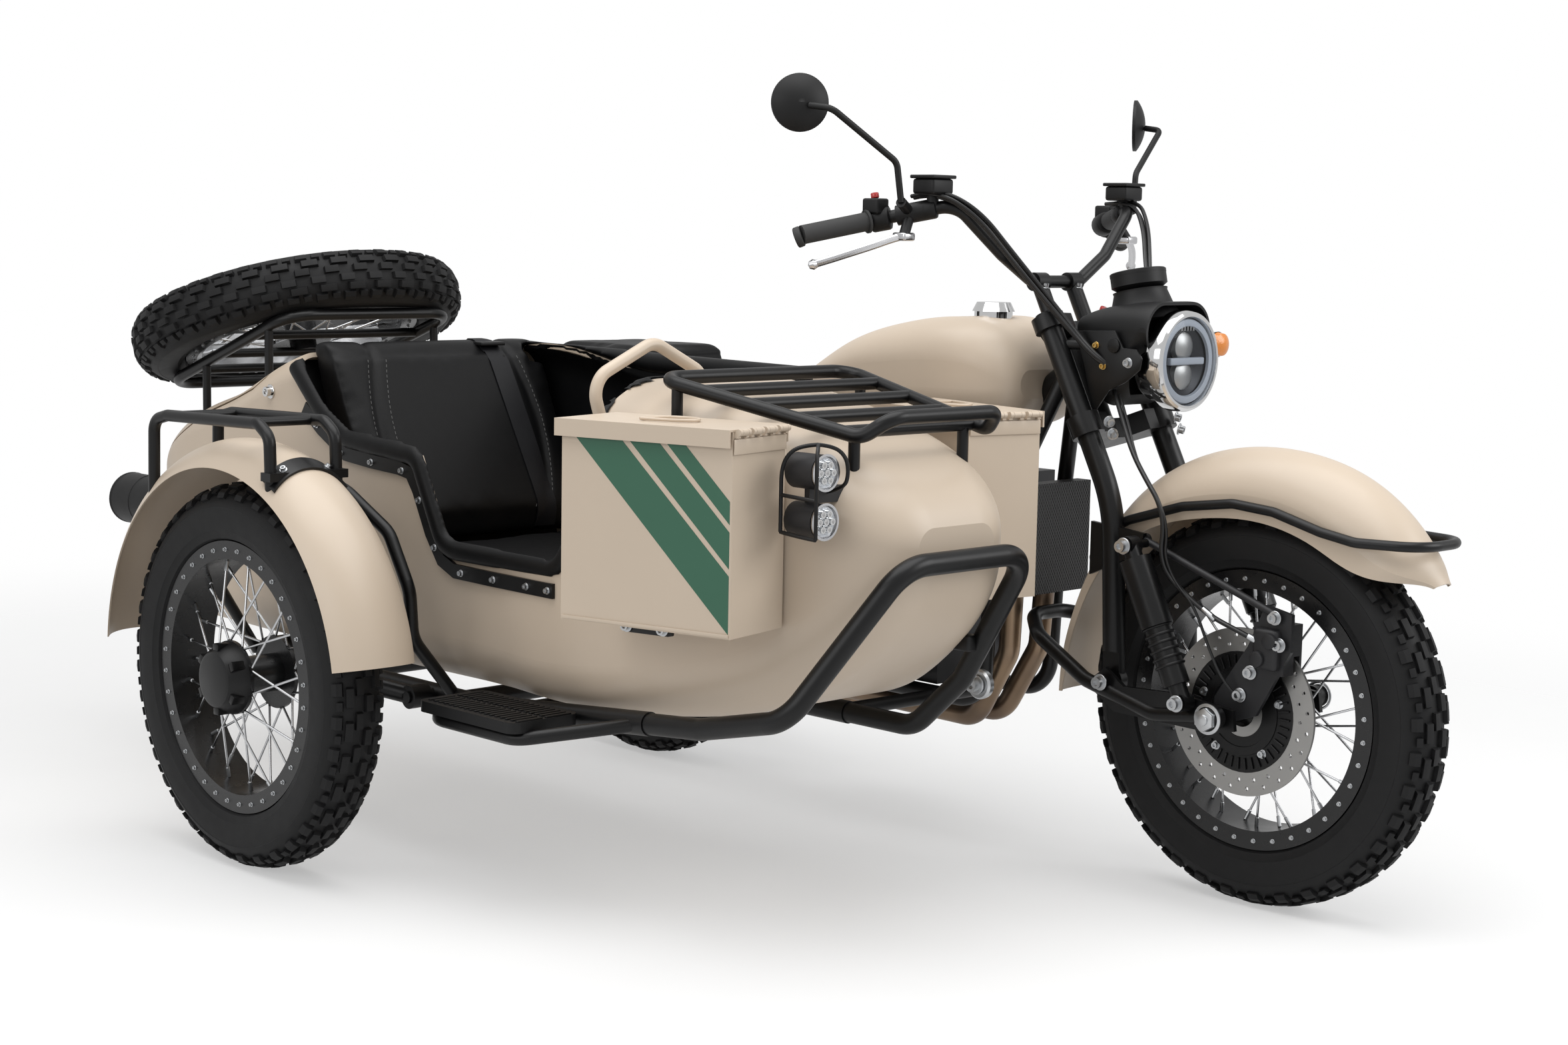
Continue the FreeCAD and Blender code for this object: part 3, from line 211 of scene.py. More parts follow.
# Plain finishes: material name, colour (a property of the outfit or a hex code), roughness, record slot
PLAIN = {
    # Satin two-layer paint: soft wide highlights with a faint orange peel
    "sand_paint": ("satin_sand_paint", "sand", 0.42, "sand_paint",
                   {"coat": 0.12, "grain_mm": 2.2, "grain_depth_mm": 0.015, "mottle": 0.02}),
    # Powder coat: dark, softly shining, with a fine pebble
    "black_paint": ("black_powder_coat", "black", 0.36, "black_paint",
                    {"grain_mm": 0.9, "grain_depth_mm": 0.03, "specular": 0.34}),
    # Moulded plastic: duller than the paint, with an eroded grain
    "black_plastic": ("moulded_black_plastic", "black", 0.5, "black_plastic",
                      {"grain_mm": 0.7, "grain_depth_mm": 0.05, "specular": 0.34}),
    # Black-painted casting: rougher grain and uneven gloss
    "cast_metal": ("painted_casting", "232325", 0.48, "engine_metal",
                   {"metallic": 0.25, "grain_mm": 1.4, "grain_depth_mm": 0.09, "spread": 0.1}),
    # Zinc-plated fasteners: bright grey, slightly dull
    "zinc": ("zinc_plate", "c4c6c8", 0.32, "steel", {"metallic": 1.0, "grain_mm": 0.6}),
    # Passivated fasteners with a yellow cast
    "brass": ("yellow_zinc", "c9ab6b", 0.34, "steel", {"metallic": 1.0, "grain_mm": 0.6}),
    # Chrome plate: sharp reflections with the faintest waviness
    "chrome": ("chrome_plate", "dadada", 0.09, "chrome",
               {"metallic": 1.0, "grain_mm": 14.0, "grain_depth_mm": 0.04, "spread": 0.03}),
    # Brake rotor: ground steel, grey, with fine crossing scratches
    "ground_steel": ("ground_steel", "a3a2a0", 0.38, "steel",
                     {"metallic": 1.0, "grain_mm": 0.5, "grain_depth_mm": 0.05, "stretch": (1.0, 0.2, 3.0)}),
    # Polished and lacquered aluminium
    "aluminium": ("polished_aluminium", "cfcfd1", 0.22, "steel", {"metallic": 1.0, "grain_mm": 3.0}),
    # Synthetic leather: soft sheen over a cell grain
    "leather": ("black_synthetic_leather", "leather", 0.46, "seat_cover",
                {"grain_mm": 1.5, "grain_depth_mm": 0.12, "cells": True, "specular": 0.2}),
    # Woven belt: a fine weave that runs along the strap
    "webbing": ("woven_black_belt", "101013", 0.5, "seat_cover",
                {"grain_mm": 0.9, "grain_depth_mm": 0.15, "stretch": (1.0, 1.0, 3.0), "specular": 0.3}),
    # Waxed sewing thread
    "thread": ("grey_thread", "5d5d5c", 0.6, None, {"grain_mm": 0.8, "grain_depth_mm": 0.05}),
    # Tyre rubber: dark grey, dull, dusty in wide patches
    "rubber": ("tyre_rubber", "rubber", 0.62, "tyre",
               {"grain_mm": 1.1, "grain_depth_mm": 0.08, "mottle": 0.22, "mottle_mm": 60, "specular": 0.3}),
    # Softer rubber with a cell pattern
    "grip_rubber": ("grip_rubber", "rubber", 0.62, "grip_rubber",
                    {"grain_mm": 1.6, "grain_depth_mm": 0.14, "cells": True}),
    # Coloured adhesive film
    "stripe_film": ("green_stripe_film", "stripe", 0.45, None,
                    {"grain_mm": 2.4, "grain_depth_mm": 0.01, "mottle": 0.03}),
    # Smooth extruded plastic over wire
    "sheath": ("cable_sheath", "131314", 0.36, "black_plastic", {"grain_mm": 2.0, "grain_depth_mm": 0.04}),
    # Metallised reflector behind the lamp's glass
    "reflector": ("dark_lamp_reflector", "2c2d30", 0.3, "black_plastic", {"metallic": 0.6, "grain_mm": 3.0}),
    # Milky light guide, unlit
    "light_guide": ("milky_light_guide", "a9afb8", 0.35, None, {"grain_mm": 4.0, "mottle": 0.04}),
    # Hardened glass over the display
    "screen": ("instrument_screen", "0b0c0e", 0.12, None, {"coat": 0.5, "grain_mm": 8}),
}
# Moulded lenses with ribs inside, by the property that gives their colour
LENSES = {"amber_lens": "amber", "red_lens": "red", "red_button": "red"}
LENS_SETTINGS = {"coat": 0.6, "grain_mm": 3.0, "grain_depth_mm": 0.4, "cells": True}


def finish(kind):
    """The material and the record slot of a kind of finish. Each material is made once."""
    if kind in LENSES:
        name, colour, roughness, slot, settings = kind, LENSES[kind], 0.18, "lamp_plastic", LENS_SETTINGS
    elif kind in PLAIN:
        name, colour, roughness, slot, settings = PLAIN[kind]
    else:
        return bpy.data.materials.get(kind) or SPECIAL[kind](), None
    if name in bpy.data.materials:
        return bpy.data.materials[name], slot
    made, tree, _ = new_material(name)
    chosen = tuple(getattr(colours(), colour)) if hasattr(colours(), colour) else linear(colour)
    return closed(made, finish_shader(tree, chosen, roughness, **settings)), slot


def heated_steel():
    # Stainless header pipes, browned by heat in uneven bands
    made, tree, where = new_material("heat_browned_steel")
    ramp = add_node(tree, "ValToRGB", {0: noise(tree, where, 130, 2.0)})
    ramp.color_ramp.elements[0].position = 0.3
    ramp.color_ramp.elements[0].color = linear("5c4a3c")
    ramp.color_ramp.elements[1].position = 0.72
    ramp.color_ramp.elements[1].color = linear("9a8166")
    return closed(made, finish_shader(tree, ramp.outputs[0], 0.34, metallic=0.85, grain_mm=1.0, mottle=0.12))


def clear_glass():
    # Clear lens: see-through, with reflections that grow towards its edges
    made, tree, where = new_material("clear_lens")
    gloss = add_node(tree, "MapRange", {0: noise(tree, where, 20), 3: 0.02, 4: 0.06}).outputs[0]
    shine = add_node(tree, "BsdfGlossy", {"Color": (1, 1, 1, 1), "Roughness": gloss}).outputs[0]
    through = add_node(tree, "BsdfTransparent", {"Color": (0.93, 0.95, 0.97, 1)}).outputs[0]
    edge = add_node(tree, "LayerWeight", {"Blend": 0.18}).outputs["Fresnel"]
    return closed(made, mix_shaders(tree, maths(tree, "MULTIPLY", edge, 0.7), through, shine))


def wheel_material(name, centre, turn):
    """Black rim and hub with bright spokes between them, told apart by the distance from the axle.

    The turn about X, in degrees, lays the wheel's axle along Y."""
    made, tree, where = new_material("wire_wheel_" + name)
    local = vectors(tree, "SUBTRACT", where, centre)
    turned = add_node(tree, "VectorRotate", {"Vector": local, "Rotation": (math.radians(turn), 0, 0)},
                      rotation_type="EULER_XYZ").outputs[0]
    radius = length(tree, vectors(tree, "MULTIPLY", turned, (1.0, 0.0, 1.0)))
    outside = maths(tree, "GREATER_THAN", radius, HUB_FLANGE * MM)
    inside = maths(tree, "LESS_THAN", radius, (RIM_INNER - 0.4) * MM)
    spoke = maths(tree, "MULTIPLY", outside, inside)
    dark = finish_shader(tree, linear("131314"), 0.28, grain_mm=1.5, grain_depth_mm=0.02)
    bright = finish_shader(tree, linear("c9cacc"), 0.24, metallic=1.0, grain_mm=1.0, grain_depth_mm=0.02)
    return closed(made, mix_shaders(tree, spoke, dark, bright))


# Height of one opening of the radiator's guard, in metres
GUARD_MESH = 0.011


def core_material():
    """Radiator core: a black expanded-metal guard over dark fins."""
    made, tree, where = new_material("radiator_guard")
    split = add_node(tree, "SeparateXYZ", {0: where})
    across, up = split.outputs[1], split.outputs[2]
    waves = []
    for sign in ("ADD", "SUBTRACT"):
        line = maths(tree, sign, maths(tree, "MULTIPLY", across, 1.7), up)
        waves.append(maths(tree, "SINE", maths(tree, "MULTIPLY", line, TURN / GUARD_MESH)))
    web = maths(tree, "MAXIMUM", waves[0], waves[1])
    bar = maths(tree, "GREATER_THAN", web, 0.55)
    colour = mix_colours(tree, bar, linear("070708"), linear("2a2a2c"))
    bump = add_node(tree, "Bump", {"Strength": 1.0, "Distance": 0.0015, "Height": web})
    return closed(made, add_node(tree, "BsdfPrincipled", {
        "Base Color": colour, "Roughness": 0.45, "Normal": bump.outputs[0]}).outputs[0])


SPECIAL = {"heat_browned_steel": heated_steel, "clear_lens": clear_glass, "radiator_guard": core_material}


# Modelling helpers

def alone(obj):
    """Selects this object only, and makes it the active one."""
    bpy.ops.object.select_all(action="DESELECT")
    obj.select_set(True)
    bpy.context.view_layer.objects.active = obj


def settle(obj):
    """Bakes the object's place into its mesh."""
    alone(obj)
    bpy.ops.object.transform_apply(location=True, rotation=True, scale=True)
    return obj


def edit(obj, action, choose=None, mode="FACE"):
    """Runs the action in edit mode on the elements that choose accepts, or on all."""
    alone(obj)
    bpy.ops.object.mode_set(mode="EDIT")
    bpy.ops.mesh.select_mode(type=mode)
    bpy.ops.mesh.select_all(action="SELECT" if choose is None else "DESELECT")
    if choose is not None:
        bpy.ops.object.mode_set(mode="OBJECT")
        for item in {"FACE": obj.data.polygons, "EDGE": obj.data.edges, "VERT": obj.data.vertices}[mode]:
            item.select = bool(choose(item))
        bpy.ops.object.mode_set(mode="EDIT")
    action()
    bpy.ops.object.mode_set(mode="OBJECT")
    return obj


def bevelled(obj, width, segments=2, choose=None, mode="FACE"):
    """Bevels the chosen edges, or all of them, by a width in millimetres."""
    return edit(obj, lambda: bpy.ops.mesh.bevel(offset=width * MM, segments=segments, affect="EDGES"),
                choose, mode)


def is_cap(face):
    return abs(face.normal.z) > 0.9


def modify(obj, kind, **settings):
    """Gives the object a modifier with these settings and applies it."""
    alone(obj)
    modifier = obj.modifiers.new(kind.lower(), kind)
    for key, value in settings.items():
        setattr(modifier, key, value)
    bpy.ops.object.modifier_apply(modifier=modifier.name)
    return obj


def linked(name, data):
    """A new object of the scene that holds the data."""
    obj = bpy.data.objects.new(name, data)
    bpy.context.scene.collection.objects.link(obj)
    return obj


def outward(obj):
    """Merges doubled points and turns all faces outwards."""
    def tidy():
        bpy.ops.mesh.remove_doubles(threshold=0.00002)
        bpy.ops.mesh.normals_make_consistent(inside=False)
    return edit(obj, tidy)


def placed(spot, direction):
    """The matrix that moves the origin to the spot and +Z into the direction."""
    return Matrix.Translation(spot) @ facing(direction)


def facing(direction):
    """The rotation that turns +Z into the direction."""
    return Vector(direction).normalized().to_track_quat("Z", "Y").to_matrix().to_4x4()


def polar(radius, angle, along=0.0):
    """A point about an axle along Y, at an angle from straight up."""
    return Vector((radius * math.sin(angle), along, radius * math.cos(angle)))


def turns(count, start=0.0):
    """Evenly spaced angles of a full turn."""
    return [TURN * (k + start) / count for k in range(count)]


def block(size, bevel, segments=1, place=(0, 0, 0)):
    """A block of a size in metres about a place in metres, its edges bevelled in millimetres."""
    bpy.ops.mesh.primitive_cube_add(size=1, location=place)
    obj = bpy.context.object
    obj.scale = size
    return bevelled(settle(obj), bevel, segments)


def cylinder(sides, radius, depth, lift=0.0):
    """A cylinder about Z, in metres, with its middle at a height."""
    bpy.ops.mesh.primitive_cylinder_add(vertices=sides, radius=radius, depth=depth, location=(0, 0, lift))
    return settle(bpy.context.object)


def drum(start, end, radius, bevel=0.8, sides=28):
    """A round bar from start to end, in millimetres, with bevelled rims."""
    start, end = at(*start), at(*end)
    depth = (end - start).length
    bpy.ops.mesh.primitive_cone_add(vertices=sides, radius1=radius * MM, radius2=radius * MM, depth=depth)
    obj = bpy.context.object
    height = lambda edge, which: obj.data.vertices[edge.vertices[which]].co.z
    bevelled(obj, bevel, 2, lambda edge: abs(height(edge, 0) - height(edge, 1)) < 1e-6, "EDGE")
    obj.matrix_world = Matrix.Translation((start + end) / 2) @ facing(end - start)
    return settle(obj)


def cushion_box(low, high, bevel=2.0):
    """A bevelled box between two corners in millimetres."""
    low, high = at(*low), at(*high)
    return block(high - low, bevel, 3, (low + high) / 2)


def outline_object(name, points, edges, faces=()):
    mesh = bpy.data.meshes.new(name)
    mesh.from_pydata(points, edges, faces)
    return linked(name, mesh)


def spun(obj, steps, axis):
    """Spins an outline a full turn about an axis through the world origin."""
    edit(obj, lambda: bpy.ops.mesh.spin(steps=steps, angle=TURN, center=(0, 0, 0), axis=axis), mode="VERT")
    return outward(obj)


def chain(name, points):
    """An outline that runs through the points in order."""
    return outline_object(name, points, [(k, k + 1) for k in range(len(points) - 1)])


def grid(name, rows):
    """An open sheet through rows of points in metres."""
    wide = len(rows[0])
    faces = [(wide * k + i, wide * k + i + 1, wide * (k + 1) + i + 1, wide * (k + 1) + i)
             for k in range(len(rows) - 1) for i in range(wide - 1)]
    return outline_object(name, [spot for row in rows for spot in row], [], faces)


def sheet(name, rows, thickness):
    """A closed sheet of an even thickness in millimetres, with the rows along its middle."""
    return outward(modify(grid(name, rows), "SOLIDIFY", thickness=thickness * MM, offset=0))


def pushed(obj, push):
    """Extrudes an open sheet by a vector in millimetres."""
    move = {"value": Vector(push) * MM}
    return outward(edit(obj, lambda: bpy.ops.mesh.extrude_region_move(TRANSFORM_OT_translate=move)))


def lathe(profile, centre, axis, steps=48):
    """Spins a profile of (along, radius) millimetres about the axis through the centre."""
    obj = spun(chain("lathe", [(radius * MM, 0, along * MM) for along, radius in profile]), steps, (0, 0, 1))
    obj.matrix_world = Matrix.Translation(at(*centre)) @ facing(axis)
    return settle(obj)


def plate(points, push, bevel=0.8):
    """A flat plate from an outline in millimetres, pushed out by a vector in millimetres."""
    corners = [at(*p) for p in points]
    obj = pushed(outline_object("plate", corners, [], [tuple(range(len(corners)))]), push)
    return outward(bevelled(obj, bevel, mode="EDGE")) if bevel else obj


def pipe(points, radius):
    """A round tube, smooth through its points in millimetres."""
    curve = bpy.data.curves.new("pipe", "CURVE")
    curve.dimensions = "3D"
    curve.bevel_depth = radius * MM
    curve.bevel_resolution = 3
    curve.use_fill_caps = True
    line = curve.splines.new("NURBS")
    line.points.add(len(points) - 1)
    for spot, place in zip(line.points, points):
        spot.co = tuple(at(*place)) + (1.0,)
    line.use_endpoint_u = True
    line.order_u = 3
    line.resolution_u = 8
    alone(linked("pipe", curve))
    bpy.ops.object.convert(target="MESH")
    return bpy.context.object


def joined(objects):
    """Joins the objects into the first of them."""
    objects = list(objects)
    bpy.ops.object.select_all(action="DESELECT")
    for obj in objects:
        obj.select_set(True)
    bpy.context.view_layer.objects.active = objects[0]
    if len(objects) > 1:
        bpy.ops.object.join()
    return bpy.context.view_layer.objects.active


def copied(source, matrix):
    """A copy with a mesh of its own, moved by the matrix."""
    mesh = source.data.copy()
    mesh.transform(matrix)
    if matrix.determinant() < 0:
        mesh.flip_normals()
    return linked(source.name, mesh)


def copies(source, matrices):
    """Turns the source into joined copies of it, one at each matrix."""
    made = [copied(source, matrix) for matrix in matrices]
    bpy.data.objects.remove(source)
    return joined(made)


def mirrored(obj, y=0.0):
    """The object together with its mirror image in a plane across Y."""
    plane = at(0, y, 0).y
    flip = Matrix.Translation((0, 2 * plane, 0)) @ Matrix.Scale(-1, 4, (0, 1, 0))
    return copies(obj, [Matrix.Identity(4), flip])


def piece(obj, name, body, kind, slot="", smooth=32.0):
    """Names the finished object, gives it a finish with its slot and lets it ride on its body."""
    material, own_slot = finish(kind)
    obj.name = name
    obj.data.name = name
    obj.data.materials.clear()
    obj.data.materials.append(material)
    alone(obj)
    bpy.ops.object.shade_smooth_by_angle(angle=math.radians(smooth))
    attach(obj, body)
    slot = own_slot if slot == "" else slot
    return obj


def bolt_head(radius):
    """A socket bolt head on a washer, at the world origin, facing +Z, in metres."""
    head = cylinder(20, radius, radius * 1.1, radius * 0.85)
    top = max(v.co.z for v in head.data.vertices)

    def socket():
        bpy.ops.mesh.inset(thickness=radius * 0.45)
        bpy.ops.mesh.extrude_region_move(TRANSFORM_OT_translate={"value": (0, 0, -radius * 0.5)})
    edit(head, socket, lambda face: face.center.z > top - 1e-6)
    washer = cylinder(20, radius * 1.45, radius * 0.3, radius * 0.15)
    return joined([head, bevelled(washer, radius * 0.06 / MM, 1, is_cap)])


def bolts(places, radius):
    """Bolt heads at (x, y, z, direction) places in millimetres, as one mesh."""
    return copies(bolt_head(radius), [placed(at(x, y, z), way) for x, y, z, way in places])


# Finishes of the frame's own pieces

FRAME_FINISHES = {
    "sand_paint": "fuel_tank rear_fender front_fender tail tub nose boot_lid near_box near_box_lid far_box"
                  " far_box_lid sidecar_fender grab_arch",
    "black_paint": "frame rear_suspension fork link_arms fork_shocks fender_loop handlebar box_brackets"
                   " nose_rack bumper sidecar_frame sidecar_arm fender_rack spare_rack",
    "black_plastic": "nacelle instrument controls step_plate sidecar_lamp bulkhead mirrors tail_lamp",
    "cast_metal": "engine front_caliper spot_lamps",
    "heat_browned_steel": "exhaust",
    "chrome": "fuel_cap headlamp",
    "aluminium": "levers",
    "grip_rubber": "grips",
    "ground_steel": "front_disc rear_disc",
    "leather": "saddle pillion_pad cockpit_rim seat_back seat_cushion",
    "rubber": "front_tyre rear_tyre sidecar_tyre spare_tyre",
    "radiator_guard": "radiator",
}


def dress(node, material):
    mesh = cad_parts[node].data
    mesh.materials.clear()
    mesh.materials.append(material)


def finish_frame():
    """Dresses every node of the frame in its finish."""
    for kind, names in FRAME_FINISHES.items():
        for node in names.split():
            dress(node, finish(kind)[0])
    for name, (x, y) in WHEEL_PLACES.items():
        dress(name + "_wheel", wheel_material(name, at(x, y, TYRE_RADIUS), 0))
    # The spare lies almost flat: a quarter turn is near enough for the bands round its axle
    dress("spare_wheel", wheel_material("spare", at(*SPARE_CENTRE), 90))


# Tyres: a carcass of revolution with tread blocks wrapped over its shoulder

# Half sections as (distance from the middle, radius): the tread's outer line, and the carcass under it
SKIN = [(0, 325), (16, 325), (32, 320), (46, 309), (53, 292), (53.5, 270)]
CARCASS = [(37, 229), (46, 233), (50, 245), (51, 246), (52.5, 262), (53, 278), (52, 284), (52.6, 285),
           (50, 292), (42, 301.5), (29, 311.5), (15, 316.8), (0, 317)]
# Times that the tread repeats round the tyre
PITCHES = 36


def on_skin(distance, depth):
    """The point (y, r) of the tyre's outer line at a distance from its crown, sunk by a depth."""
    side = -1 if distance < 0 else 1
    left = abs(distance)
    for (y0, r0), (y1, r1) in zip(SKIN, SKIN[1:]):
        run = math.hypot(y1 - y0, r1 - r0)
        if left <= run or (y1, r1) == SKIN[-1]:
            share = left / run
            normal = Vector((r0 - r1, y1 - y0)).normalized()
            return (side * (y0 + (y1 - y0) * share - normal.x * depth),
                    r0 + (r1 - r0) * share - normal.y * depth)
        left -= run


# A tread block narrows to this share at its top, drops at its edges there, and reaches below its depth
LUG_TAPER = 0.84
LUG_DROP = 0.9
LUG_ROOT = 2.5


def lug(near, far, start, length, depth):
    """One tread block between two distances from the crown, along part of a pitch."""
    bpy.ops.mesh.primitive_cube_add(size=1)
    obj = bpy.context.object
    edit(obj, lambda: bpy.ops.mesh.subdivide(number_cuts=1))
    for vertex in obj.data.vertices:
        u, v, w = vertex.co
        top = w > 0.1
        taper = LUG_TAPER if top else 1.0
        edge = LUG_DROP if abs(u) > 0.4 or abs(v) > 0.4 else 0.0
        y, r = on_skin((near + far) / 2 + v * (far - near) * taper, edge if top else depth + LUG_ROOT)
        vertex.co = polar(r, (start + u * length * taper) / TYRE_RADIUS, y) * MM
    return outward(obj)


# Tread blocks: distances of both edges from the crown, place along the pitch, length, depth lost
TREAD_BLOCKS = [(1.6, 16.5, 0, 31, 0), (19.5, 35, 0.3, 36, 0),
                (38.5, 61, 0.05, 25, 0), (39, 51, 0.55, 17, 1.5)]


def make_tyre():
    """A tyre about Y at the world origin. Each half of the tread lags the other by half a pitch."""
    outline = CARCASS + [(-y, r) for y, r in CARCASS[-2::-1]]
    carcass = spun(chain("carcass", [(0, y * MM, r * MM) for y, r in outline]), 96, (0, 1, 0))
    depth = sizes().lug / MM
    pitch = TURN * TYRE_RADIUS / PITCHES
    blocks = []
    for near, far, share, length, lost in TREAD_BLOCKS:
        blocks.append(lug(near, far, pitch * share, length, depth - lost))
        blocks.append(lug(-far, -near, pitch * ((share + 0.5) % 1), length, depth - lost))
    ring = copies(joined(blocks), [Matrix.Rotation(angle, 4, "Y") for angle in turns(PITCHES)])
    return joined([carcass, ring])


def wheel_matrices():
    """From a wheel about Y at the world origin to each wheel of the outfit."""
    out = {name: Matrix.Translation(at(x, y, TYRE_RADIUS)) for name, (x, y) in WHEEL_PLACES.items()}
    out["spare"] = (Matrix.Translation(at(*SPARE_CENTRE)) @ Matrix.Rotation(-SPARE_TILT, 4, "Y")
                    @ Matrix.Rotation(math.radians(90), 4, "X"))
    return out


def on_wheels(source, suffix, kind):
    """Puts a copy of the source on each wheel, and pairs it with the wheel's name."""
    made = [(name, piece(copied(source, matrix), name + suffix, ROLLERS[name], kind))
            for name, matrix in wheel_matrices().items()]
    bpy.data.objects.remove(source)
    return made


def add_tyres():
    for name, tyre in on_wheels(make_tyre(), "_tread_tyre", "rubber"):
        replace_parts(tyre, name + "_tyre")


RIM_BOLT_RING = 214.0
RIM_FACE = 42.0
RIM_BOLTS = 36
SPOKES = 36
# Radius and distance from the wheel's middle of a spoke's ends, and its lean round the hub in degrees
SPOKE_HEAD = (54, 42.5)
SPOKE_FOOT = (202, 8)
SPOKE_LEAN = 34
NIPPLE_LENGTH, NIPPLE_INSET = 18, 13


def add_rim_bolts():
    """Small bright bolts round both faces of each rim, and nipples on the spokes."""
    places = [placed(polar(RIM_BOLT_RING, angle, side * RIM_FACE) * MM, (0, side, 0))
              for angle in turns(RIM_BOLTS, 0.5) for side in (-1, 1)]
    ring = copies(bolt_head(sizes().rim_bolt), places)
    nipples = []
    for k, foot in enumerate(turns(SPOKES)):
        side = 1 if k % 2 else -1
        head = foot + math.radians((1 if k % 4 < 2 else -1) * SPOKE_LEAN)
        start = polar(SPOKE_HEAD[0], head, side * SPOKE_HEAD[1])
        end = polar(SPOKE_FOOT[0], foot, side * SPOKE_FOOT[1])
        run = (end - start).normalized()
        nipples.append(placed((end - run * NIPPLE_INSET) * MM, run))
    barrel = bevelled(cylinder(8, 3.3 * MM, NIPPLE_LENGTH * MM), 0.6, 1, is_cap)
    on_wheels(joined([ring, copies(barrel, nipples)]), "_rim_bolts", "zinc")


# Distance of a disc's outer face from the wheel's middle, the radii of its drilled holes, and of its bolts
DISC_FACE = 64.7
DRILL_RINGS = (111, 125)
DISC_BOLT_RING = 76
DRILLS, TEETH, DISC_BOLTS = 48, 40, 5


def add_brakes():
    """Drilled rotors cut from the plain discs, with their carriers, toothed sensor rings and bolts."""
    for name, side in (("front", -1), ("rear", 1)):
        body = ROLLERS[name]
        x, y = WHEEL_PLACES[name]
        hub = (x, y, TYRE_RADIUS)
        out = (0, side, 0)
        rotor = linked("rotor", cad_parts[name + "_disc"].data.copy())
        drills = [placed(at(*hub) + polar(DRILL_RINGS[k % 2], angle, side * 62) * MM, (0, 1, 0))
                  for k, angle in enumerate(turns(DRILLS))]
        cutter = copies(cylinder(10, 3.4 * MM, 24 * MM), drills)
        modify(rotor, "BOOLEAN", operation="DIFFERENCE", object=cutter)
        bpy.data.objects.remove(cutter)
        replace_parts(piece(rotor, name + "_drilled_disc", body, "ground_steel"), name + "_disc")
        face = DISC_FACE
        carrier = lathe([(face - 1, 40), (face + 1.2, 41), (face + 1.2, 98), (face - 1, 99.5)], hub, out)
        sensor = lathe([(face, 56), (face + 3, 57), (face + 3, 70), (face, 71)], hub, out)
        tooth = block((0.0032, 0.003, 0.019), 0.6, 1, (0, side * (face + 3.2) * MM, 84 * MM))
        teeth = [Matrix.Translation(at(*hub)) @ Matrix.Rotation(angle, 4, "Y") for angle in turns(TEETH)]
        piece(joined([carrier, sensor, copies(tooth, teeth)]), name + "_disc_carrier", body, "black_paint")
        studs = [(*(Vector(hub) + polar(DISC_BOLT_RING, angle, side * (face + 1.2))), out)
                 for angle in turns(DISC_BOLTS)]
        piece(bolts(studs, sizes().bolt * 0.8), name + "_disc_bolts", body, "zinc")


# Padding

def padded(node, name, voxel_mm, seams=(), swell=True):
    """A padded cover grown from a plain soft solid: rounded, swollen by a cloth run, then seamed.

    A seam is the distance of a place from it in millimetres, or None where it has ended, with its
    depth and its width."""
    obj = linked(name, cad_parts[node].data.copy())
    modify(obj, "REMESH", mode="VOXEL", voxel_size=voxel_mm * MM)
    modify(obj, "SMOOTH", factor=0.5, iterations=8)
    if swell:
        blow_up(obj, sizes().pad_swell)
    normals = [v.normal.copy() for v in obj.data.vertices]
    for vertex, normal in zip(obj.data.vertices, normals):
        place = vertex.co / MM + ORIGIN
        for distance, depth, width in seams:
            gap = distance(place)
            if gap is not None and abs(gap) < 3 * width:
                vertex.co -= normal * depth * MM * math.exp(-(gap / width) ** 2)
    modify(obj, "SUBSURF", levels=1)
    piece(obj, name, "chassis", "leather", smooth=80)
    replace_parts(obj, node)
    return obj


CLOTH_FRAMES = 20


def blow_up(obj, most):
    """Swells a closed cover with a short cloth run under pressure and limits how far a point moves."""
    rest = [v.co.copy() for v in obj.data.vertices]
    cloth = obj.modifiers.new("cloth", "CLOTH")
    cloth.settings.quality = 4
    cloth.settings.use_pressure = True
    cloth.settings.uniform_pressure_force = 4
    cloth.settings.effector_weights.gravity = 0
    for number in range(1, CLOTH_FRAMES + 1):
        bpy.context.scene.frame_set(number)
    alone(obj)
    bpy.ops.object.modifier_apply(modifier="cloth")
    bpy.context.scene.frame_set(1)
    for vertex, start in zip(obj.data.vertices, rest):
        move = vertex.co - start
        if move.length > most:
            vertex.co = start + move * (most / move.length)


# Middle plane of the seat back
SEAT_Y = -592


def seat_seam(z):
    """Distance of the seat back's upright seams from its middle plane."""
    return 150 + 28 * math.sin((z - 560) / 300 * math.pi)


def add_padding():
    """Replaces the soft solids with padded covers, and adds the thread and the belt of the seat."""
    padded("saddle", "saddle_cover", 7,
           [(lambda p: p.z - 757 if p.x > 130 else None, 4, 5), (lambda p: p.x - 300, 2.0, 5)])
    padded("pillion_pad", "pillion_cover", 6,
           [(lambda p: p.z - 796, 5, 5), (lambda p: p.z - 824, 3, 4)])
    cover = padded("seat_back", "seat_back_cover", 9,
                   [(lambda p: abs(p.y - SEAT_Y) - seat_seam(p.z), 7, 8),
                    (lambda p: p.z - 845 if p.x > 30 else None, 3, 6)])
    add_stitches(cover)
    add_strap(cover)
    padded("seat_cushion", "seat_cushion_cover", 9,
           [(lambda p: abs(p.y - BODY_Y) - 175 if p.z > 470 else None, 6, 8),
            (lambda p: p.x - 560 if p.z > 470 else None, 5, 8)])
    padded("cockpit_rim", "cockpit_roll", 6, swell=False)


# Points across the belt, where it passes over the seat back's top, and how high its middle lies
STRAP_ACROSS = (-22, -11, 0, 11, 22)
STRAP_Y = -474
STRAP_LIFT = 1.6


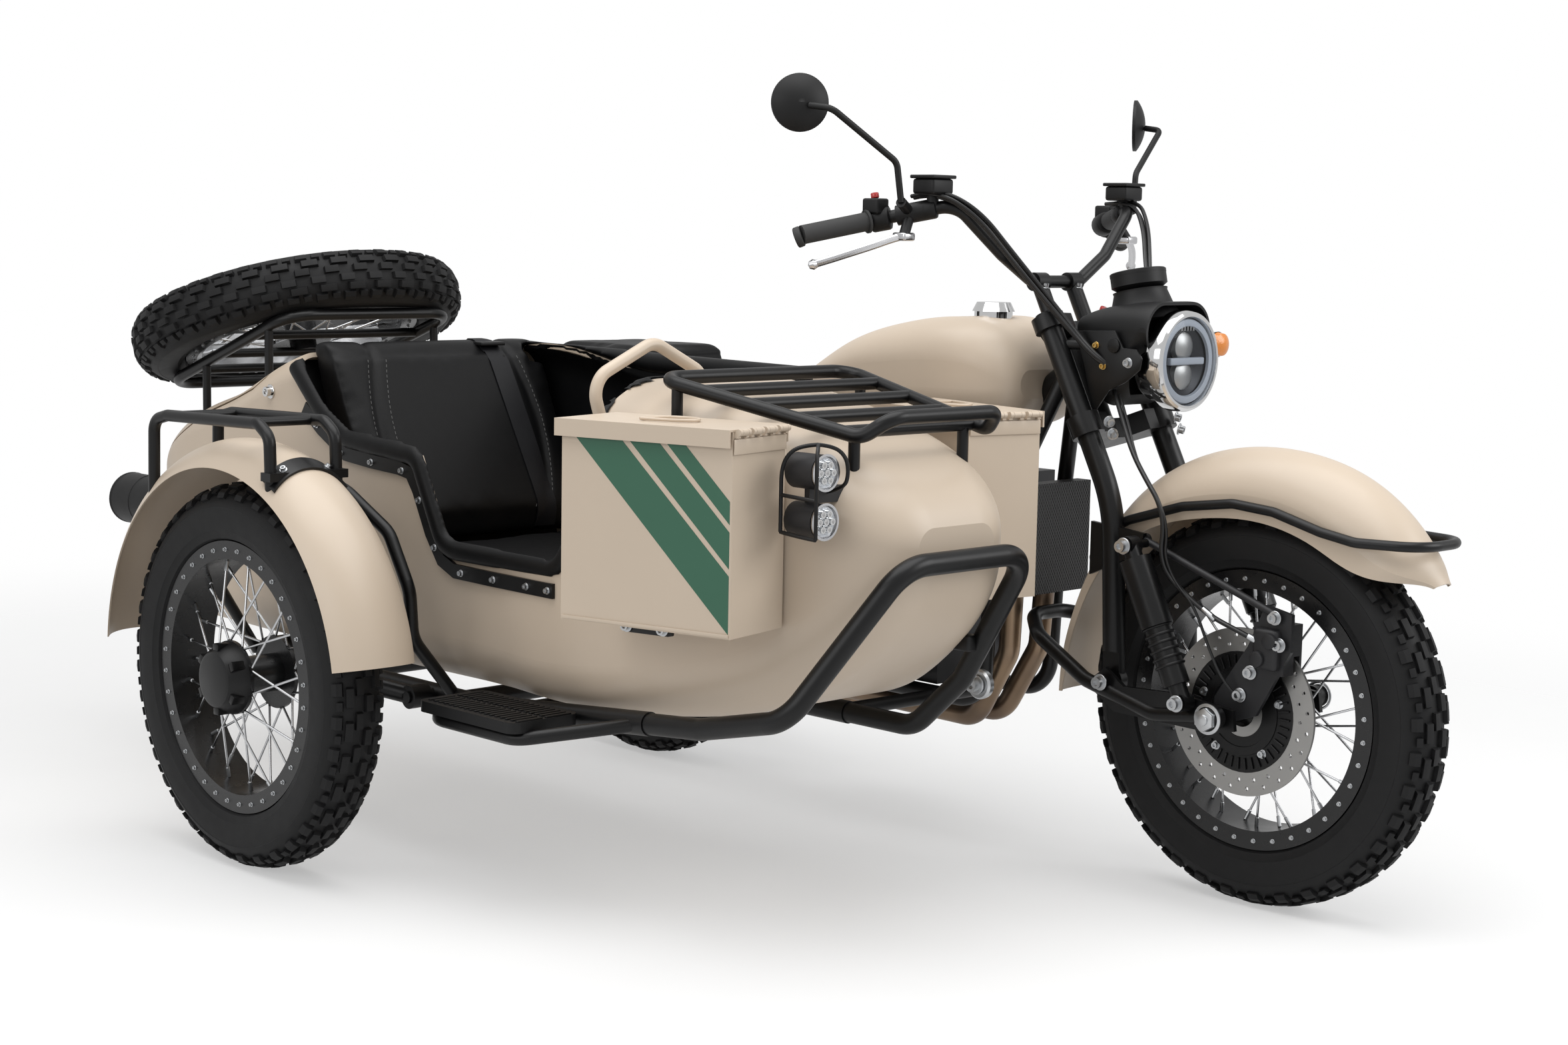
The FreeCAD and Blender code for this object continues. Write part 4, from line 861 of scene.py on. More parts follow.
def add_strap(cover):
    """A belt laid over the seat back on its far half, with a buckle at the top."""
    rays = [[((420, -437 - (z - 500) * 0.1 + width, z), (-1, 0, 0)) for width in STRAP_ACROSS]
            for z in range(506, 862, 16)]
    rays += [[((x, STRAP_Y + width, 1000), (0, 0, -1)) for width in STRAP_ACROSS]
             for x in range(70, -11, -16)]
    rows = []
    for ray in rays:
        hits = [cover.ray_cast(at(*start), way) + (Vector(way),) for start, way in ray]
        if all(hit[0] for hit in hits):
            rows.append([hit[1] - hit[4] * STRAP_LIFT * MM for hit in hits])
    piece(sheet("strap", rows, 2.2), "seat_strap", "chassis", "webbing")
    _, top, _, _ = cover.ray_cast(at(58, STRAP_Y, 1000), (0, 0, -1))
    height = top.z / MM
    buckle = cushion_box((46, STRAP_Y - 28, height + 1), (74, STRAP_Y + 28, height + 8), 2)
    piece(buckle, "strap_buckle", "chassis", "black_plastic")


# The thread: its foot and head on the seat back, from stitch to stitch, one stitch, and its rows by the seam
THREAD_FOOT, THREAD_HEAD = 560, 838
STITCH_PITCH, STITCH_LENGTH = 9, 5
STITCH_ROWS = (-26, 12)


def add_stitches(cover):
    """Pale thread beside both upright seams of the seat back, in short stitches that lie on the cover."""
    places = []
    for side in (-1, 1):
        for offset in STITCH_ROWS:
            for z in range(THREAD_FOOT, THREAD_HEAD, STITCH_PITCH):
                spots = []
                for height in (z, z + STITCH_LENGTH):
                    y = SEAT_Y + side * (seat_seam(height) + offset)
                    found, spot, normal, _ = cover.ray_cast(at(420, y, height), (-1, 0, 0))
                    if found:
                        spots.append((spot, normal))
                if len(spots) == 2:
                    (low, normal), (high, _) = spots
                    up = (high - low).normalized()
                    across = up.cross(normal).normalized()
                    turn = Matrix((across.cross(up), across, up)).transposed().to_4x4()
                    places.append(Matrix.Translation((low + high) / 2) @ turn)
    if places:
        piece(copies(block((0.0009, 0.0011, 0.0058), 0.3), places), "seat_stitches", "chassis", "thread")


# Lower edge of the lining as (x, z), in millimetres, and how many points it has each way
LINING_EDGE = [(30, 822), (150, 505), (215, 505), (235, 690), (277, 747), (392, 795), (523, 818), (560, 822)]
LINING_COLUMNS, LINING_ROWS = 54, 22


def add_lining():
    """Black lining on the inside of the cockpit's far wall, ending at the line that the photograph shows."""
    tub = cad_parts["tub"]
    wall = lambda x, z: tub.ray_cast(at(x, BODY_Y, z), (0, 1, 0))
    first, last = LINING_EDGE[0][0], LINING_EDGE[-1][0]
    rows = []
    for i in range(LINING_COLUMNS + 1):
        x = first + (last - first) * i / LINING_COLUMNS
        (x0, z0), (x1, z1) = next(pair for pair in zip(LINING_EDGE, LINING_EDGE[1:]) if x <= pair[1][0])
        low = z0 + (z1 - z0) * (x - x0) / (x1 - x0)
        top = next(z for z in range(880, 820, -4) if z == 824 or wall(x, z)[0])
        # A ray that misses the wall, or lands far from the last point, keeps the last point's depth
        y = -340
        row = []
        for k in range(LINING_ROWS + 1):
            z = low + (top - low) * k / LINING_ROWS
            found, spot, _, _ = wall(x, z)
            if found and abs(spot.y / MM + ORIGIN.y - y) < 60:
                y = spot.y / MM + ORIGIN.y - 2
            row.append(at(x, y, z))
        rows.append(row)
    piece(sheet("lining", rows, 1.5), "cockpit_lining", "chassis", "leather")


# Sidecar trim

# Out of the near box's front face, and out of its outer face
BOX_AHEAD = Vector((math.cos(BOX_TOE), math.sin(BOX_TOE), 0))
BOX_OUT = Vector((math.sin(BOX_TOE), -math.cos(BOX_TOE), 0))
# The stripes on the outer face, as (x from the front face, height)
STRIPES = [[(-278.4, 774), (-194.2, 774), (-3, 589.6), (-3, 505)],
           [(-180.5, 774), (-127.1, 774), (-3, 653), (-3, 600)],
           [(-114.3, 774), (-81.4, 774), (-3, 697), (-3, 664)]]


def box_place(x, y, z):
    """A place in the outfit's layout, from the near box's outer front corner: x ahead of it, y inwards."""
    return (BOX_CORNER[0] + x * math.cos(BOX_TOE) - y * math.sin(BOX_TOE),
            BOX_CORNER[1] + x * math.sin(BOX_TOE) + y * math.cos(BOX_TOE), z)


def add_boxes():
    """Stripes of the near box, and bands, feet and lid handles of both boxes."""
    lift = sizes().stripe_lift / MM
    films = [plate([box_place(x, -0.05, z) for x, z in outline], BOX_OUT * lift, 0) for outline in STRIPES]
    piece(joined(films), "box_stripes", "chassis", "stripe_film")
    # A band across the front face under the lid, and a strip along the foot of the outer face
    band = plate([box_place(1.4, y, z) for y, z in ((1, 764), (139, 764), (139, 786), (1, 786))],
                 BOX_AHEAD * 1.6, 0.4)
    strip = plate([box_place(x, -0.2, z) for x, z in ((-302, 500), (-2, 500), (-2, 505), (-302, 505))],
                  BOX_OUT * 1.6, 0.4)
    piece(mirrored(joined([band, strip]), BODY_Y), "box_bands", "chassis", "sand_paint")
    foot = plate([box_place(x, 60, z) for x, z in ((-232, 478), (-150, 478), (-150, 498), (-232, 498))],
                 (0, 14, 0), 2)
    piece(mirrored(foot, BODY_Y), "box_feet", "chassis", "black_paint")
    spots = [box_place(x, 59, 488) + ((0.23, -0.97, 0),) for x in (-224, -158)]
    piece(bolts(spots, sizes().bolt), "box_foot_bolts", "chassis", "zinc")
    ring = ((-190, 40), (-190, 96), (-110, 96), (-110, 40), (-190, 40))
    near = [box_place(x, y, 803.5) for x, y in ring]
    far = [(x, 2 * BODY_Y - y, z) for x, y, z in near]
    piece(pipe(near, 2.5), "near_lid_handle", "near_lid", "sand_paint")
    piece(pipe(far, 2.5), "far_lid_handle", "far_lid", "sand_paint")


# Upper edge of the cockpit's band as (x, z), running forward; its width and thickness; its bolts
RIM_LINE = [(60, 762), (110, 728), (184, 690), (260, 684), (340, 680), (378, 672), (404, 640),
            (440, 572), (470, 532), (500, 520), (600, 519), (700, 519), (768, 519)]
BAND_WIDTH, BAND_THICKNESS = 24, 6
BAND_BOLTS = ((96, 724), (170, 680), (262, 671), (352, 664), (402, 618), (446, 542), (520, 507),
              (610, 507), (700, 507), (756, 507))
# From here forward the near flank bulges, by this rise per millimetre
BULGE_START = 520
BULGE_RISE = 0.03


def flank(x):
    return FLANK_Y - max(0, x - BULGE_START) * BULGE_RISE


def add_body_trim():
    """The band round the cockpit's cut-out in the near flank, and a screw on each side of the tail."""
    lower = []
    for before, spot, after in zip([RIM_LINE[0]] + RIM_LINE, RIM_LINE, RIM_LINE[1:] + [RIM_LINE[-1]]):
        run = Vector((after[0] - before[0], after[1] - before[1])).normalized() * BAND_WIDTH
        lower.append((spot[0] + run.y, spot[1] - run.x))
    band = grid("band", [[at(x, flank(x), z) for x, z in line] for line in (RIM_LINE, lower)])
    piece(pushed(band, (0, -BAND_THICKNESS, 0)), "cockpit_band", "chassis", "black_paint")
    spots = [(x, flank(x) - BAND_THICKNESS, z, (0, -1, 0)) for x, z in BAND_BOLTS]
    piece(bolts(spots, 4.2 * MM), "cockpit_band_bolts", "chassis", "zinc")
    screws = []
    for side in (-1, 1):
        _, spot, normal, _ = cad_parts["tail"].ray_cast(at(-62, BODY_Y + side * 500, 773), (0, -side, 0))
        screws.append(placed(spot, normal))
    piece(copies(bolt_head(9 * MM), screws), "body_screws", "chassis", "chrome")


# The rack shoe: its near end and length across the fender, its steps, its lines in x, and its bolts' steps
SHOE_NEAR, SHOE_LENGTH, SHOE_STEPS = -1180, 134, 24
SHOE_LINES = (394, 402, 410, 418, 426)
SHOE_BOLTS = (5, 19)


def add_rack_shoe():
    """The arched strip that carries the fender rack's front feet, laid over the fender, with its bolts."""
    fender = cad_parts["sidecar_fender"]
    rows, screws = [], []
    for k in range(SHOE_STEPS + 1):
        y = SHOE_NEAR + SHOE_LENGTH * k / SHOE_STEPS
        hits = [(x, fender.ray_cast(at(x, y, 900), (0, 0, -1))) for x in SHOE_LINES]
        # A ray that misses the fender leaves its point at a set height
        rows.append([hit[1] + hit[2] * 3 * MM if hit[0] else at(x, y, 660) for x, hit in hits])
        if k in SHOE_BOLTS:
            _, spot, normal, _ = hits[2][1]
            screws.append(placed(spot + normal * 4.5 * MM, normal))
    piece(sheet("shoe", rows, 4), "rack_shoe", "chassis", "black_paint")
    piece(copies(bolt_head(4.5 * MM), screws), "rack_shoe_bolts", "chassis", "zinc")


# The tube cage round the spot lamps: two uprights that meet a hoop at the top, and two cross bars
CAGE_TOP = (1292, -826, 778)
CAGE = [[(1250, -858, 650), (1250, -858, 700), (1250, -858, 745), (1262, -852, 768), (1280, -838, 777),
         CAGE_TOP],
        [(1316, -852, 644), (1316, -852, 690), (1316, -852, 740), (1310, -846, 764), (1302, -836, 775),
         CAGE_TOP],
        [CAGE_TOP, (1304, -806, 776), (1314, -790, 760), (1316, -787, 735), (1306, -785, 714),
         (1272, -785, 706)],
        [(1250, -858, 650), (1283, -856, 646), (1316, -852, 644)],
        [(1250, -858, 704), (1283, -856, 702), (1316, -852, 700)]]


def add_spot_lamps():
    """Lens, ring and light clusters in each spot lamp, with the tube cage round both."""
    x, y = 1299, -822
    rings, glasses, cells = [], [], []
    for z in (738, 667):
        rings.append(lathe([(1, 15), (3, 26), (7, 27.5), (7, 24), (3, 22.5), (2, 14), (1, 15)],
                           (x, y, z), AHEAD))
        glasses.append(lathe([(4.4, 0.01), (4.2, 12), (3.4, 22)], (x + 1, y, z), AHEAD))
        cells.append((x + 2, y, z, AHEAD))
        cells += [(x + 2, y + 13 * math.cos(angle), z + 13 * math.sin(angle), AHEAD)
                  for angle in turns(6, 1)]
    piece(joined(rings), "spot_lamp_rings", "chassis", "aluminium")
    piece(bolts(cells, 5.2 * MM), "spot_lamp_cells", "chassis", "chrome", "steel")
    piece(joined(glasses), "spot_lamp_glass", "chassis", "clear_lens")
    piece(joined([pipe(line, 3) for line in CAGE]), "spot_lamp_cage", "chassis", "black_paint")
    clamp = cushion_box((1256, -700, 684), (1290, -672, 722), 3)
    piece(clamp, "spot_lamp_clamp", "chassis", "black_paint")


def add_step_pads():
    """Raised ribs on the step plate."""
    places = [Matrix.Translation(at(618 + 13.2 * k, y, 326)) for k in range(18) for y in (-993, -936)]
    piece(copies(block((0.006, 0.05, 0.003), 0.8), places), "step_ribs", "chassis", "black_plastic")


def add_tail_lamp():
    """Lens of the sidecar's tail lamp, and the rings at both ends of its pod."""
    lens = lathe([(2.5, 0.01), (2.2, 18), (1, 37), (-2, 40)], (-635, -838, 524), (-1, 0, 0))
    piece(lens, "sidecar_tail_lens", "chassis", "red_lens")
    rings = [lathe([(0, 50.2), (1, 51), (4, 51), (5, 50.2)], (x, -838, 524), (-1, 0, 0))
             for x in (-630, -560)]
    piece(joined(rings), "sidecar_tail_rings", "chassis", "black_plastic")


# Front of the bike

def add_lamp():
    """The headlamp as bezel, bowl, light guide, bar and glass."""
    x, _, z = LAMP
    shell = lathe([(-78, 0.01), (-78, 60), (-60, 70), (-28, 71.5), (-28, 83.2), (-26, 84), (-6, 84), (-1, 82),
                   (1.5, 78), (1.5, 74), (-3, 72.5), (-8, 72)], LAMP, AHEAD, 72)
    bowl = lathe([(-9, 72.5), (-12, 50), (-20, 30), (-22, 0.01)], LAMP, AHEAD, 64)
    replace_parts(piece(shell, "headlamp_shell", "steering", "chrome"), "headlamp")
    piece(bowl, "headlamp_bowl", "steering", "reflector")
    guide = lathe([(-8, 57), (-3.5, 58.5), (-2.5, 63.5), (-4, 69), (-8, 71)], LAMP, AHEAD, 72)
    bar = cushion_box((x - 14, -46, z - 6), (x - 3, 46, z + 6), 2.5)
    piece(joined([guide, bar]), "headlamp_light_guide", "steering", "light_guide")
    lenses = [lathe([(-20, 27), (-12, 24), (-7, 16.2), (-5.5, 0.01)], (x, 0, z + height), AHEAD, 40)
              for height in (24, -24)]
    ribs = [cushion_box((x - 10, y - 1.6, z + 50), (x - 5, y + 1.6, z + 62), 0.6) for y in range(-16, 17, 8)]
    piece(joined(lenses + ribs), "headlamp_projectors", "steering", "ground_steel", None)
    cover = lathe([(0.5, 75.5), (5, 60), (7.8, 36), (9, 0.01)], LAMP, AHEAD, 64)
    piece(cover, "headlamp_glass", "steering", "clear_lens")


def add_lamp_brackets():
    """Side plates from the fork legs to the headlamp, with their bolts and the far indicator."""
    outline = [(1168, 924), (1250, 928), (1268, 900), (1296, 899), (1307, 884), (1303, 865), (1274, 843),
               (1241, 828), (1214, 792), (1206, 800), (1190, 862)]
    ear = plate([(x, -95, z) for x, z in outline], (0, 5, 0), 1.2)
    cap = drum((1251, -99, 903), (1251, -94, 903), 12, 1.0)
    piece(mirrored(joined([ear, cap])), "lamp_brackets", "steering", "black_paint")
    yellow = [(x, side * 95, z, (0, side, 0)) for side in (-1, 1) for x, z in ((1213, 902), (1229, 868))]
    piece(bolts(yellow, 4.2 * MM), "bracket_bolts", "steering", "brass")
    silver = [(1281, side * 95, 876, (0, side, 0)) for side in (-1, 1)]
    piece(bolts(silver, 6 * MM), "lamp_pivot_bolts", "steering", "zinc")
    # The photograph shows an indicator on the bike's far side only
    spot = (1284, 145, 902)
    stalk = drum((1284, 92, 902), (1284, 124, 902), 8, 1.0)
    body = lathe([(-14, 0.01), (-13, 14), (-4, 21), (2, 22), (2, 0.01)], spot, AHEAD)
    lens = lathe([(2, 21), (12, 19), (17, 10), (18, 0.01)], spot, AHEAD)
    piece(joined([stalk, body]), "indicator_bodies", "steering", "black_plastic")
    piece(lens, "indicator_lenses", "steering", "amber_lens")


def add_fork_bolts():
    """Bolts of the fork and its links, the axle's nuts, and the caliper's body with its bolts."""
    spots = [(x, side * 92, z, (0.86, side * 0.35, -0.2))
             for side in (-1, 1) for x, z in ((1242, 777), (1250, 757))]
    spots += [(1226, side * 92, 548, (0, side, 0)) for side in (-1, 1)]
    piece(bolts(spots, 7 * MM), "fork_clamp_bolts", "steering", "zinc")
    large = [(x, side * y, z, (0, side, 0)) for side in (-1, 1)
             for x, y, z in ((1279, 137, 348), (1337, 163, 584), (1453, 163, 342))]
    piece(bolts(large, 9.5 * MM), "link_bolts", "steering", "zinc")
    nuts = []
    for side in (-1, 1):
        out = (0, side, 0)
        axle = (1510, side * 162, TYRE_RADIUS)
        nut = bevelled(cylinder(6, 19 * MM, 14 * MM), 1.2)
        nut.matrix_world = placed(at(*axle), out)
        nuts += [settle(nut), lathe([(-8, 23), (-6, 25), (-4, 25), (-3, 20)], axle, out),
                 drum((1510, side * 160, TYRE_RADIUS), (1510, side * 173, TYRE_RADIUS), 9, 1.0)]
    piece(joined(nuts), "axle_nuts", "steering", "zinc")
    brake = [(x, y, z, (0, -1, 0))
             for x, y, z in ((1604, -105, 451), (1548, -99, 399), (1530, -99, 360), (1594, -105, 493))]
    piece(bolts(brake, 8 * MM), "caliper_bolts", "steering", "zinc")
    body = cushion_box((1556, -112, 408), (1602, -60, 474), 7)
    humps = [drum((x, -118, z), (x, -96, z), 13, 3) for x, z in ((1568, 425), (1590, 456))]
    piece(joined([body] + humps), "caliper_body", "steering", "cast_metal", "black_paint")


def add_shock_boots():
    """Folds of the rubber boot on the lower half of each fork shock."""
    folds = []
    top, foot = Vector((1337, 584)), Vector((1453, 342))
    run = (foot - top).normalized()
    for side in (-1, 1):
        for k in range(7):
            spot = top + run * (128 + 13 * k)
            folds.append(lathe([(-3.4, 19), (-2, 24.2), (0, 25.4), (2, 24.2), (3.4, 19)],
                               (spot.x, side * 146, spot.y), (run.x, 0, run.y), 32))
    piece(joined(folds), "shock_boots", "steering", "black_plastic", "black_paint")


def add_cables():
    """The cables from the bar into the lamp brackets, and the brake hose with the sensor wire."""
    radius = sizes().cable / MM
    # The cables of each bundle keep these distances (y, z) from its first one
    near = [pipe([(948, -262 + dy, 1140 + dz * 0.3), (1002, -262 + dy, 1150 + dz * 0.4),
                  (1052, -215 + dy, 1106 + dz), (1085, -165 + dy, 1036 + dz),
                  (1130, -128 + dy * 0.7, 968 + dz), (1178, -108 + dy * 0.4, 915 + dz * 0.6),
                  (1212, -103 + dy * 0.2, 884 + dz * 0.5), (1234, -93, 868 + dz * 0.4),
                  (1246, -80, 856)], radius)
            for dy, dz in ((0, 0), (8, 7), (-7, 8), (2, 15))]
    far = [pipe([(948, 262 + dy, 1140), (1010, 262 + dy, 1140 + dz), (1072, 215 + dy, 1092 + dz),
                 (1120, 160 + dy, 1030 + dz), (1160, 118, 962 + dz), (1196, 100, 905),
                 (1214, 84, 880)], radius)
           for dy, dz in ((0, 0), (-8, 7), (6, 12))]
    piece(joined(near + far), "control_cables", "steering", "sheath")
    hose = pipe([(1236, -72, 828), (1262, -80, 780), (1296, -96, 730), (1338, -112, 690), (1372, -118, 655),
                 (1384, -120, 615), (1382, -124, 575), (1396, -124, 540), (1440, -118, 505),
                 (1480, -112, 480), (1540, -112, 462), (1562, -106, 452)], 4.2)
    wire = pipe([(1246, -70, 822), (1272, -78, 774), (1304, -96, 722), (1344, -114, 682), (1380, -118, 644),
                 (1391, -120, 605), (1390, -124, 570), (1412, -124, 530), (1450, -120, 496),
                 (1478, -116, 430), (1508, -112, 376), (1530, -104, 356)], 2.4)
    piece(joined([hose, wire]), "brake_hose", "steering", "sheath")
    ends = [drum((1462, -114, 492), (1486, -112, 477), 5.2, 0.8, 12),
            drum((1548, -111, 459), (1566, -104, 450), 5.6, 0.8, 12)]
    piece(joined(ends), "hose_fittings", "steering", "zinc")


def add_bar_gear():
    """Switch blocks, reservoirs, the red stop switch and key, the bar's ends and the levers."""
    blocks = []
    for side in (-1, 1):
        start, end = Vector((905, side * 305, 1103)), Vector((1018, side * 235, 1130))
        run = (end - start).normalized()
        for share, long, radius in ((0.04, 34, 21), (0.66, 26, 17)):
            spot = start.lerp(end, share)
            blocks.append(drum(spot - run * long / 2, spot + run * long / 2, radius, 4, 20))
        y = side * 258
        blocks += [cushion_box((962, y - 26, 1146), (1010, y + 26, 1172), 5),
                   cushion_box((959, y - 29, 1172), (1013, y + 29, 1178), 2),
                   drum((986, y, 1120), (986, y, 1150), 10, 1),
                   cushion_box((888, side * 312 - 15, 1112), (924, side * 312 + 15, 1138), 4)]
    reds = [drum((905, -312, 1138), (903, -312, 1147), 7, 1.5, 16),
            drum((1150, -6, 946), (1158, -6, 962), 7, 1.5, 16)]
    piece(joined(blocks), "switch_gear", "steering", "black_plastic")
    piece(joined(reds), "red_buttons", "steering", "red_button")
    risers = [(1058, side * 45, 992, (0.2, 0, 1)) for side in (-1, 1)]
    piece(bolts(risers, 6 * MM), "riser_bolts", "steering", "zinc")
    ends = [drum((842, side * 436, 1069), (851, side * 429, 1073.5), 17.5, 2.5, 24) for side in (-1, 1)]
    piece(joined(ends), "bar_ends", "steering", "grip_rubber", "black_plastic")
    blades = []
    for side in (-1, 1):
        blades += [pipe([(968, side * 298, 1078), (955, side * 318, 1072), (938, side * 350, 1059),
                         (915, side * 382, 1046), (893, side * 410, 1034), (878, side * 427, 1027)], 6.6),
                   lathe([(-9, 0.01), (-7, 6), (0, 9.2), (7, 6), (9, 0.01)], (877, side * 428, 1026.5),
                         (0.6, -side * 0.7, 0.2), 24),
                   cushion_box((948, side * 302 - 14, 1068), (978, side * 302 + 14, 1082), 4)]
    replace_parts(piece(joined(blades), "lever_blades", "steering", "aluminium"), "levers")


def add_instrument_face():
    """Shroud, bezel and glass of the instrument, tilted back to the rider."""
    tilt = math.radians(12)
    axis = (-math.sin(tilt), 0, math.cos(tilt))
    centre = (1221, 0, 1022)
    ring = lathe([(-4, 47.4), (1.5, 47.4), (3, 45.5), (1.5, 42), (0.4, 41)], centre, axis, 56)
    shroud = lathe([(-84, 66), (-60, 53), (-34, 45), (-30, 46)], centre, axis, 56)
    piece(shroud, "instrument_shroud", "steering", "black_plastic")
    piece(ring, "instrument_bezel", "steering", "black_plastic")
    glass = lathe([(0.6, 42), (1.8, 25), (2.2, 0.01)], centre, axis, 48)
    piece(glass, "instrument_glass", "steering", "screen")


# Engine and lower pieces

def add_engine_covers():
    """Round covers on both sides of the plain block."""
    covers = []
    for side in (-1, 1):
        out = (0, side, 0)
        covers += [lathe([(0, 0.01), (12, 30), (13, 62), (8, 78), (0, 82)], (640, side * 150, 372), out, 40),
                   lathe([(0, 0.01), (9, 20), (10, 40), (5, 50), (0, 53)], (812, side * 150, 362), out, 40)]
    piece(joined(covers), "engine_covers", "chassis", "cast_metal")


def add_lower_mounts():
    """Collar and bolt of the sidecar's front mount, and the clip that holds the bumper."""
    collar = lathe([(-14, 24), (-4, 25), (0, 22), (0, 12)], (1184, -338, 354), (0, -1, 0))
    piece(collar, "front_mount_collar", "chassis", "zinc")
    piece(bolts([(1184, -340, 354, (0, -1, 0))], 11 * MM), "front_mount_bolt", "chassis", "zinc")
    clip = cushion_box((1244, -478, 436), (1284, -452, 462), 4)
    piece(clip, "bumper_clip", "chassis", "black_paint")


def add_hub_cover():
    """The drum-like cover on the sidecar wheel's outer side, with its six tabs."""
    hub = (*WHEEL_PLACES["sidecar"], TYRE_RADIUS)
    cover = lathe([(46, 62), (52, 60), (70, 52), (78, 46), (80, 40), (80, 0.01)], hub, (0, -1, 0))
    tabs = [Matrix.Translation(at(*hub) + polar(54, angle, -62) * MM) @ Matrix.Rotation(angle, 4, "Y")
            for angle in turns(6)]
    cover = joined([cover, copies(block((0.016, 0.026, 0.012), 2, 2), tabs)])
    piece(cover, "sidecar_hub_cover", "sidecar_roller", "black_paint", "wheel_black")


# Stage

# The camera as fitted to the photograph: its place, its angles, and its focal length in pixels of 2353
CAMERA_PLACE = (3720.1, -3275.6, 1085.8)
CAMERA_YAW, CAMERA_PITCH, CAMERA_ROLL = (math.radians(v) for v in (135.530, -6.962, 1.090))
SENSOR_WIDTH = 36
CAMERA_LENS = 3619.67 * SENSOR_WIDTH / 2353


def add_camera():
    yaw, pitch, roll = CAMERA_YAW, CAMERA_PITCH, CAMERA_ROLL
    ahead = Vector((math.cos(pitch) * math.cos(yaw), math.cos(pitch) * math.sin(yaw), math.sin(pitch)))
    level = Vector((math.sin(yaw), -math.cos(yaw), 0))
    upright = level.cross(ahead)
    right = level * math.cos(roll) + upright * math.sin(roll)
    up = upright * math.cos(roll) - level * math.sin(roll)
    bpy.ops.object.camera_add()
    camera = bpy.context.object
    camera.name = "camera"
    turn = Matrix((right, up, -ahead)).transposed().to_4x4()
    camera.matrix_world = Matrix.Translation(at(*CAMERA_PLACE)) @ turn
    camera.data.sensor_width = SENSOR_WIDTH
    camera.data.lens = CAMERA_LENS
    camera.data.clip_end = 60
    bpy.context.scene.camera = camera


def add_light(name, place, target, size, power):
    bpy.ops.object.light_add(type="AREA", location=place)
    lamp = bpy.context.object
    lamp.name = name
    lamp.data.shape = "RECTANGLE"
    lamp.data.size, lamp.data.size_y = size
    lamp.data.energy = power
    lamp.rotation_euler = (Vector(target) - Vector(place)).to_track_quat("-Z", "Y").to_euler()


def add_floor():
    """A pale floor that fades out into the white backdrop."""
    bpy.ops.mesh.primitive_plane_add(size=14, location=(0, 0, 0))
    floor = bpy.context.object
    floor.name = "floor"
    edit(floor, lambda: bpy.ops.mesh.subdivide(number_cuts=3))
    made, tree, where = new_material("pale_floor")
    tone = mix_colours(tree, noise(tree, where, 400), (0.86, 0.86, 0.86, 1), (0.9, 0.9, 0.9, 1))
    shader = add_node(tree, "BsdfPrincipled",
                      {"Base Color": tone, "Roughness": 0.9, "Specular IOR Level": 0.0}).outputs[0]
    reach = length(tree, vectors(tree, "MULTIPLY", where, (0.75, 0.9, 0.0)))
    fade = add_node(tree, "MapRange", {0: reach, 1: 1.1, 2: 3.2, 3: 0.42, 4: 1.0},
                    interpolation_type="SMOOTHERSTEP").outputs[0]
    clear = add_node(tree, "BsdfTransparent").outputs[0]
    floor.data.materials.append(closed(made, mix_shaders(tree, fade, shader, clear)))


def add_world():
    """A backdrop that is white to the camera, and dimmer in reflections and as a light."""
    world = bpy.data.worlds.new("studio")
    bpy.context.scene.world = world
    world.use_nodes = True
    tree = world.node_tree
    tree.nodes.clear()
    path = add_node(tree, "LightPath")
    seen = maths(tree, "MAXIMUM", path.outputs["Is Camera Ray"], path.outputs["Is Transmission Ray"])
    seen = maths(tree, "MAXIMUM", seen, maths(tree, "MULTIPLY", path.outputs["Is Glossy Ray"], 0.36))
    strength = add_node(tree, "MapRange", {0: seen, 3: 0.5, 4: 1.0}).outputs[0]
    shine = add_node(tree, "Background", {0: (1, 1, 1, 1), 1: strength})
    add_node(tree, "OutputWorld", {0: shine.outputs[0]})


def add_stage():
    add_floor()
    add_world()
    add_camera()
    add_light("overhead", (0.4, -0.6, 3.6), (0, 0, 0.3), (4.2, 3.4), 116)
    add_light("front_left", (3.6, 1.8, 2.4), (0.3, 0, 0.6), (2.4, 2.0), 60)
    add_light("side_fill", (0.2, -4.6, 2.2), (0, 0, 0.6), (3.6, 1.8), 36)
    bpy.context.scene.view_settings.view_transform = "Standard"


def make_operator(key, label, text, *actions):
    """An operator class that runs the actions in order."""
    def execute(self, context):
        for action in actions:
            action()
        return {"FINISHED"}
    return type("OUTFIT_OT_" + key, (bpy.types.Operator,),
                {"__doc__": text, "bl_idname": "outfit." + key, "bl_label": label, "execute": execute})


